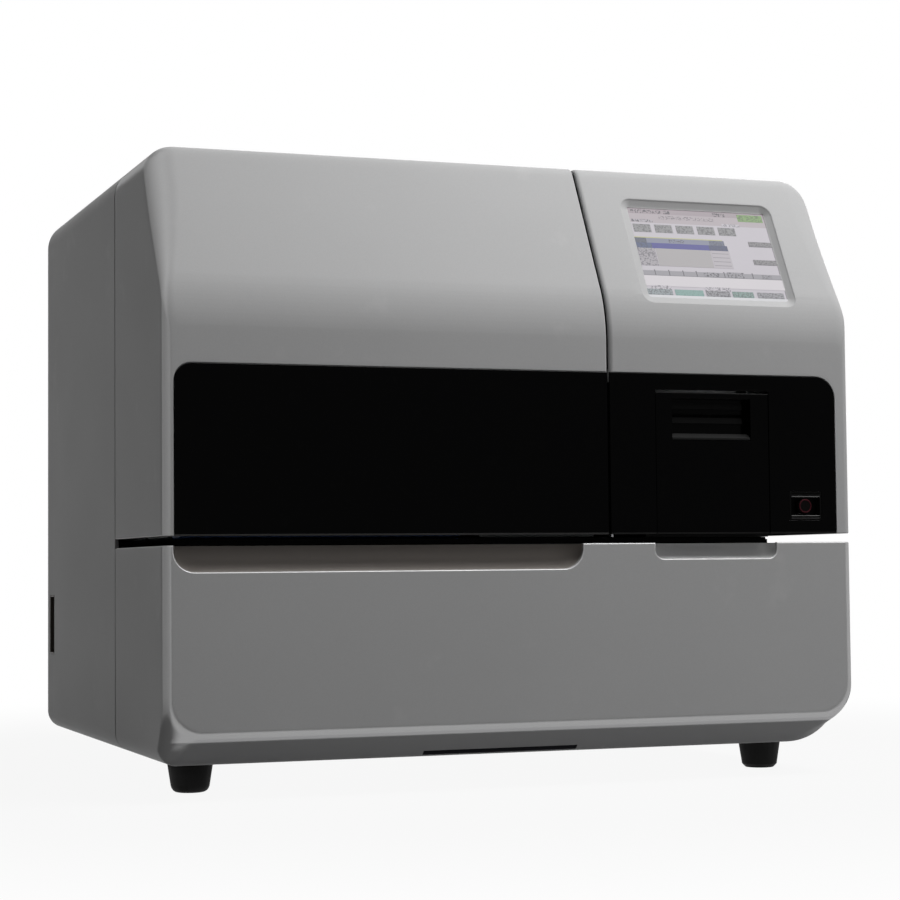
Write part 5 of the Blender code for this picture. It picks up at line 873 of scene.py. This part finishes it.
# Paper roll and platen
# Thermal paper 58 mm is wound on a core, and a rubber platen presses it to the print head.
# Its cut ends show the windings.
roll_y, roll_z = -0.189, 0.2325
paper_finish, shade = new_finish("thermal_paper", (0.74, 0.74, 0.72), 0.75, Specular_IOR_Level=0.2)
spot = shade.node("TexCoord", output="Object")
spot = shade.node("VectorMath", {"operation": "SUBTRACT"}, {0: spot, 1: (0, roll_y, roll_z)}, "Vector")
spot = shade.node("VectorMath", {"operation": "MULTIPLY"}, {0: spot, 1: (0, 1, 1)}, "Vector")
radius = shade.node("VectorMath", {"operation": "LENGTH"}, {0: spot}, "Value")
windings = (radius * 9000).maths("SINE") * 0.5 + 0.5
tone = noise(shade, 40, 3) * 0.4 + windings * 0.6
colour = tone.tint((0.66, 0.66, 0.64), (0.78, 0.78, 0.76))
feed(paper_finish, Base_Color=colour, Normal=bump(shade, windings, 0.15, 0.0001))
dress(paper_finish, "paper_roll")


def rubber(name, tone=0.012):
    """Soft black rubber, dusty in places, with a fine matt grain."""
    finish, shade = new_finish(name, tone, 0.75, Specular_IOR_Level=0.15)
    dust = noise(shade, 120, 8).ramp(0.48, 0.80)
    colours = dust.tint(tone * 0.8, (tone * 1.9, tone * 1.9, tone * 1.8))
    relief = bump(shade, noise(shade, 900, 4), 0.25, 0.0003)
    return feed(finish, Base_Color=colours, Roughness=0.68 + dust * 0.15, Normal=relief)


dress(rubber("platen_rubber", 0.03), "platen_roller")

# Touch screen
# A colour panel behind flat glass at the foot of the funnel. It shows a results page of plain
# boxes, bars and marks: a header, a table with one row chosen, and rows of buttons.
def light(red, green, blue):
    """A screen colour from its values out of 255, in linear light."""
    shares = [value / 255 for value in (red, green, blue)]
    return tuple(((v + 0.055) / 1.055) ** 2.4 if v > 0.04 else v / 12.92 for v in shares)


def glow(name, colour, marks):
    """A lit area of the screen, with the fine grid of its dots and rows of small dark marks."""
    finish, shade = new_finish(name, 0.01, 0.2, Emission_Strength=0.72, Specular_IOR_Level=0.1)
    height_on = shade.node("TexCoord", output="Object").axes()[2]
    rows = (height_on * 9000).maths("SINE") * 0.03 + 0.97
    soft = noise(shade, 60, 3) * 0.06 + 0.97
    lit = rows * soft
    colours = lit.tint(tuple(c * 0.2 for c in colour), colour)
    if marks:
        specks = noise(shade, 650, 2, stretch=(1, 0.4, 1.3)).ramp(0.50, 0.56) * marks
        colours = specks.tint(colours, light(52, 50, 62))
    return feed(finish, Emission_Color=colours)


glass, shade = new_finish("screen_glass", (0.02, 0.02, 0.022), 0.12, Specular_IOR_Level=0.3)
smear = noise(shade, 35, 7).ramp(0.4, 0.8)
feed(glass, Base_Color=smear.tint((0.018, 0.018, 0.02), (0.03, 0.03, 0.032)), Roughness=0.08 + smear * 0.15)
dress(glass, "touch_screen", edge=0.0002)

page_left, page_right, page_low, page_high = 0.1105, 0.2352, 0.0170, 0.1052
grey, pale, bar, ink = (186, 180, 188), (206, 201, 209), (158, 156, 163), 0.85
areas = [(0, 0, 1, 1, pale, 0), (0, 0, 1, 0.06, (170, 158, 165), 0), (0, 0.06, 1, 0.16, (188, 178, 184), 0)]
areas += [(0.03, 0.015, 0.31, 0.055, (170, 158, 165), ink), (0.62, 0.015, 0.71, 0.055, (170, 158, 165), ink)]
areas += [(0.22, 0.075, 0.62, 0.115, (188, 178, 184), 0.55), (0.02, 0.125, 0.17, 0.155, grey, ink)]
areas += [(0.80, 0.02, 0.985, 0.10, (128, 166, 96), 0.5), (0.67, 0.135, 0.80, 0.165, pale, 0.6)]
areas += [(0.02 + 0.153 * k, 0.18, 0.145 + 0.153 * k, 0.27, (146, 146, 148), 0.55) for k in range(5)]
areas += [(0, 0.325, 0.64, 0.335, (196, 196, 140), 0), (0, 0.335, 0.09, 0.39, (84, 92, 112), 0.5)]
areas += [(0.09, 0.335, 0.54, 0.39, (134, 138, 160), 0), (0.25, 0.345, 0.36, 0.38, (134, 138, 160), 0.8)]
areas += [(0.54, 0.335, 0.65, 0.39, (104, 110, 132), 0.4), (0, 0.39, 0.12, 0.45, (72, 88, 128), 0.5)]
areas += [(0.12, 0.39, 0.53, 0.45, (62, 62, 148), 0), (0.53, 0.39, 0.665, 0.45, (66, 74, 112), 0.3)]
areas += [(0.01, 0.45, 0.135, 0.645, (176, 171, 178), 0.6), (0.14, 0.45, 0.53, 0.645, (178, 174, 176), 0)]
areas += [(0.535, 0.45, 0.67, 0.645, (192, 186, 193), 0)]
areas += [(0.54, 0.48 + 0.045 * k, 0.66, 0.485 + 0.045 * k, (128, 124, 132), 0) for k in range(4)]
areas += [(0.83, 0.33, 1, 0.385, (140, 138, 141), 0.5), (0.83, 0.535, 1, 0.59, (140, 138, 141), 0.5)]
areas += [(0, 0.70, 1, 0.755, bar, 0), (0, 0.75, 1, 0.757, (120, 118, 126), 0)]
areas += [(k, 0.69, k + 0.006, 0.75, (96, 94, 102), 0) for k in (0.09, 0.19, 0.29, 0.385, 0.585, 0.79)]
areas += [(0.44, 0.70, 0.55, 0.745, bar, ink), (0.61, 0.69, 0.73, 0.75, bar, 0.7)]
areas += [(0.86, 0.705, 0.93, 0.745, bar, 0.6), (0, 0.757, 1, 0.87, (224, 219, 224), 0)]
areas += [(0.04, 0.865, 0.18, 0.905, pale, 0.6), (0.42, 0.865, 0.60, 0.905, pale, 0.6)]
areas += [(0, 0.905, 0.18, 0.965, (150, 160, 164), 0.5), (0.20, 0.905, 0.40, 0.965, (132, 170, 164), 0.15)]
areas += [(0.42, 0.905, 0.59, 0.965, (150, 150, 155), 0.6), (0.61, 0.905, 0.76, 0.965, (132, 158, 152), 0.5)]
areas += [(0.79, 0.905, 0.98, 0.965, (156, 156, 161), 0.5), (0, 0.97, 1, 1, (226, 226, 230), 0)]
page, kinds = bmesh.new(), {}
for step, (left, top, right, bottom, colour, marks) in enumerate(areas):
    levels = (-0.0057, -0.0042 + 0.000012 * step)
    u0, u1 = [page_left + (page_right - page_left) * k for k in (left, right)]
    v0, v1 = [page_high - (page_high - page_low) * k for k in (bottom, top)]
    corners = [(u0, v0), (u1, v0), (u1, v1), (u0, v1)]
    rings = [[page.verts.new(slope @ Vector((u, v, h))) for u, v in corners] for h in levels]
    low_ring, high_ring = rings
    index = kinds.setdefault((colour, marks), len(kinds))
    page.faces.new(high_ring).material_index = index
    page.faces.new(low_ring[::-1]).material_index = index
    for k in range(4):
        page.faces.new((low_ring[k], low_ring[k - 3], high_ring[k - 3], high_ring[k])).material_index = index
page = place("screen_page", page)
for (colour, marks), index in kinds.items():
    page.data.materials.append(glow("screen_lit_%d" % index, light(*colour), marks))
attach(page, "cabinet")

# Stop switch
# A black push button with a red ring, in a moulded well between two guard rails. The button
# returns on a spring behind the well.
dress(moulded("well_black", (0.003, 0.003, 0.003), 0.4, specular=0.02), "stop_switch_well")
rails = []
for z, half in ((0.2226, 0.0004), (0.2061, 0.0010)):
    rail = [(front_y + 0.0001, z - half), (front_y + 0.0016, z - half - 0.0003)]
    rail += [(front_y + 0.0016, z + half + 0.0003), (front_y + 0.0001, z + half)]
    rails.append(prism("rail", rail, 0.2292, 0.2542))
rails = joined("guard_rails", rails)
paint_over(rails, moulded("rail_grey", (0.17, 0.17, 0.17), 0.4, specular=0.1))
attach(rails, "cabinet")
dress(moulded("button_black", (0.004, 0.003, 0.003), 0.35, specular=0.02), "stop_button")


def lathe(name, centre, profile, steps=40):
    """A closed ring or disc turned about Y, from (radius, distance along it) points."""
    x, y, z = centre
    rings = []
    for turn in [360 * k / steps for k in range(steps)]:
        rings.append([(x + r * cos(turn), y + along, z + r * sin(turn)) for r, along in profile])
    rings.append(rings[0])
    piece = loft(name, rings, capped=False)
    mesh = bmesh.new()
    mesh.from_mesh(piece.data)
    bmesh.ops.remove_doubles(mesh, verts=mesh.verts, dist=0.000001)
    bmesh.ops.dissolve_degenerate(mesh, edges=mesh.edges, dist=0.000001)
    bmesh.ops.recalc_face_normals(mesh, faces=mesh.faces)
    mesh.to_mesh(piece.data)
    mesh.free()
    return piece


ring_profile = [(0.0050 + 0.0005 * cos(a), 0.0001 + 0.0004 * sin(a)) for a in range(0, 360, 45)]
stop_ring = lathe("stop_ring", (0.24125, -0.2448, 0.21485), ring_profile)
paint_over(stop_ring, moulded("ring_red", (0.045, 0.006, 0.010), 0.45, specular=0.05))
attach(stop_ring, "stop_button")

# Deck
# A black coated steel deck carries the racks. It shows as the dark line between the lid and
# the lower cover.
dress(moulded("deck_black", (0.004, 0.004, 0.004), 0.45, specular=0.0), "deck_plate", edge=0.0006)

# Feet
# Four moulded rubber feet, tapered and rounded at the heel. They are screwed up into the
# chassis and hold the cabinet off the bench.
feet = ["foot_" + corner for corner in ("front_left", "front_right", "rear_left", "rear_right")]
dress(rubber("foot_rubber", 0.004), *feet, edge=0.0018, turn=30)

# Chassis and walls
# Folded and galvanised sheet steel: a base pan with its posts, the wall between the bay and
# the electronics, and the frame that carries the lid.
def zinc(name, tone=0.42):
    """Galvanised steel, with the soft spangle of the zinc and a few rub marks."""
    finish, shade = new_finish(name, (tone, tone, tone * 1.02), 0.42, Metallic=0.75)
    spangle = cells(shade, 130)
    rubs = noise(shade, 40, 8).ramp(0.60, 0.78)
    tones = spangle * 0.5 + noise(shade, 12) * 0.5
    colours = tones.tint((tone * 0.85, tone * 0.85, tone * 0.88), (tone * 1.12, tone * 1.12, tone * 1.15))
    colours = (rubs * 0.4).tint(colours, tone * 1.3)
    rough = 0.36 + spangle * 0.12 - rubs * 0.06
    return feed(finish, Base_Color=colours, Roughness=rough, Normal=bump(shade, spangle, 0.04, 0.0002))


dress(zinc("chassis_zinc"), "chassis", "partition_wall", "hinge_frame", edge=0.0004)
dress(moulded("bay_black", (0.016, 0.016, 0.017), 0.6), "bay_back_wall")
dress(metal("ear_aluminium", (0.62, 0.63, 0.64), 0.35, (1, 20, 1)), "lid_hinge_ears")

# Racks, tubes and bin
# Moulded racks lift out of the deck. Reagent bottles and sample tubes stand in them, and used
# cuvettes fall in the bin.
def rack(name, colour, level, filling):
    """A moulded rack whose contents, above a level, are clear plastic with liquid in it."""
    finish, shade = new_finish(name, colour, 0.45, Specular_IOR_Level=0.45)
    height_on = shade.node("TexCoord", output="Object").axes()[2]
    above = height_on.ramp(level - 0.0002, level + 0.0002)
    body = vary(noise(shade, 30, 4), colour, 0.9, 1.08, 0.9)
    fill = vary(noise(shade, 80, 3), filling, 0.85, 1.1, 0.9)
    rough = 0.42 + noise(shade, 90, 4) * 0.12 - above * 0.25
    relief = bump(shade, noise(shade, 1300, 2), 0.2, 0.0001)
    return feed(finish, Base_Color=above.tint(body, fill), Roughness=rough, Normal=relief)


dress(rack("sample_rack_blue", (0.03, 0.10, 0.34), 0.2305, (0.58, 0.60, 0.60)), "sample_rack")
dress(rack("reagent_rack_grey", (0.30, 0.31, 0.32), 0.2160, (0.62, 0.60, 0.52)), "reagent_rack")
cuvette_white = rack("cuvette_rack_white", (0.62, 0.63, 0.62), 0.2120, (0.70, 0.74, 0.76))
dress(cuvette_white, "tube_rack_left", "tube_rack_right")
dress(moulded("bin_grey", (0.20, 0.205, 0.21), 0.5), "trash_bin", edge=0.0008)
dress(moulded("rinse_white", (0.66, 0.67, 0.66), 0.35), "rinse_station")

# Detector
# A machined and anodised block keeps its wells warm, and reads the light through them.
dress(metal("detector_aluminium", (0.42, 0.43, 0.45), 0.38, (30, 1, 1), 0.8), "detector_block", edge=0.0004)

# Gantry
# An anodised rail carries the arm across the bay on a toothed belt, and the arm carries the
# probe and the cuvette catcher.
dress(metal("rail_aluminium", (0.55, 0.56, 0.58), 0.33, (1, 20, 20)), "x_rail", "x_carriage", "y_arm")
pulley_finish = metal("pulley_aluminium", (0.60, 0.60, 0.62), 0.30, (1, 30, 1))
dress(pulley_finish, "drive_pulley", "idler_pulley", edge=0.0002)
dress(rubber("belt_rubber", 0.02), "x_belt", edge=0.0001)
dress(moulded("motor_black", (0.022, 0.022, 0.023), 0.42), "x_motor", edge=0.0006)
dress(moulded("carriage_grey", (0.17, 0.175, 0.18), 0.48), "y_carriage")
dress(moulded("holder_white", (0.60, 0.61, 0.60), 0.40), "probe_holder", "catcher_head")
dress(metal("probe_steel", (0.58, 0.58, 0.60), 0.20, (20, 20, 1), 1.0), "probe_needle", edge=0.0001)
finger_finish = metal("finger_steel", (0.52, 0.52, 0.54), 0.28, (20, 20, 1), 1.0)
dress(finger_finish, "catcher_finger_left", "catcher_finger_right", edge=0.0002)

# Rear panel
# A painted sheet steel panel closes the back, held by pan-head screws round its edge. It
# carries the fan, the mains inlet, the sockets and the fluid ports.
dress(moulded("panel_grey", (0.23, 0.235, 0.24), 0.5, specular=0.3), "rear_panel", edge=0.0002)
spots = [(x, z) for x in (-0.242, 0.242) for z in (0.068, 0.196, 0.322, 0.450)]
spots += [(x, z) for x in (-0.12, 0.0, 0.12) for z in (0.068, 0.450)]
head = [(0.00001, -0.0004), (0.0030, -0.0004), (0.0030, 0.0006)]
head += [(0.0026, 0.0012), (0.0015, 0.0016), (0.00001, 0.0017)]
screws = []
for x, z in spots:
    screw = lathe("screw", (x, panel_face, z), head, 24)
    for wide, tall in ((0.0016, 0.0003), (0.0003, 0.0016)):
        carve(screw, block("cross", (x - wide, 0.2299, z - tall), (x + wide, 0.232, z + tall)))
    screws.append(screw)
screws = joined("rear_screws", screws)
paint_over(screws, metal("screw_steel", (0.55, 0.55, 0.56), 0.30, (1, 1, 1), 1.0))
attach(screws, "cabinet")
dress(metal("guard_steel", (0.56, 0.56, 0.58), 0.28, (1, 1, 1), 1.0), "fan_guard", edge=0.0002)
dress(moulded("fan_black", (0.014, 0.014, 0.015), 0.45), "fan_frame", "fan_rotor")
dress(moulded("inlet_black", (0.012, 0.012, 0.013), 0.42), "power_inlet", edge=0.0004)
dress(moulded("port_white", (0.62, 0.63, 0.62), 0.4), "fluid_ports")

# Mains switch
# A black rocker in a moulded well, low on the left side near the back.
dress(moulded("switch_brown", (0.040, 0.033, 0.028), 0.5, specular=0.2), "switch_well")
dress(moulded("rocker_black", (0.012, 0.012, 0.012), 0.35, specular=0.2), "power_rocker")


# Electronics and pump
# Green circuit boards, a boxed power supply and a syringe pump stand on the base pan and on
# the wall beside the bay.
def board(name):
    """Green solder mask over copper tracks."""
    finish, shade = new_finish(name, (0.02, 0.13, 0.06), 0.35)
    spot = shade.node("TexCoord", output="Object")
    pattern = {"Vector": spot, "Scale": 160, "Mortar Size": 0.04}
    pattern |= {"Color1": (0, 0, 0, 1), "Color2": (0, 0, 0, 1), "Mortar": (1, 1, 1, 1)}
    lanes = shade.node("TexBrick", inputs=pattern, output="Color").red()
    tracks = lanes * noise(shade, 50, 3).ramp(0.4, 0.55)
    colours = tracks.tint((0.012, 0.085, 0.040), (0.035, 0.19, 0.085))
    cloud = noise(shade, 18, 3)
    colours = (cloud * 0.35).tint(colours, (0.010, 0.05, 0.03))
    rough = 0.28 + cloud * 0.15
    return feed(finish, Base_Color=colours, Roughness=rough, Normal=bump(shade, tracks, 0.2, 0.0001))


dress(board("board_green"), "main_board", "interface_board", edge=0.0001)
dress(zinc("supply_zinc", 0.36), "power_supply", edge=0.0006)
dress(metal("pump_aluminium", (0.50, 0.51, 0.53), 0.35, (1, 1, 20)), "syringe_pump")
dress(metal("plunger_steel", (0.60, 0.60, 0.62), 0.22, (1, 1, 20), 1.0), "syringe_plunger", edge=0.0002)
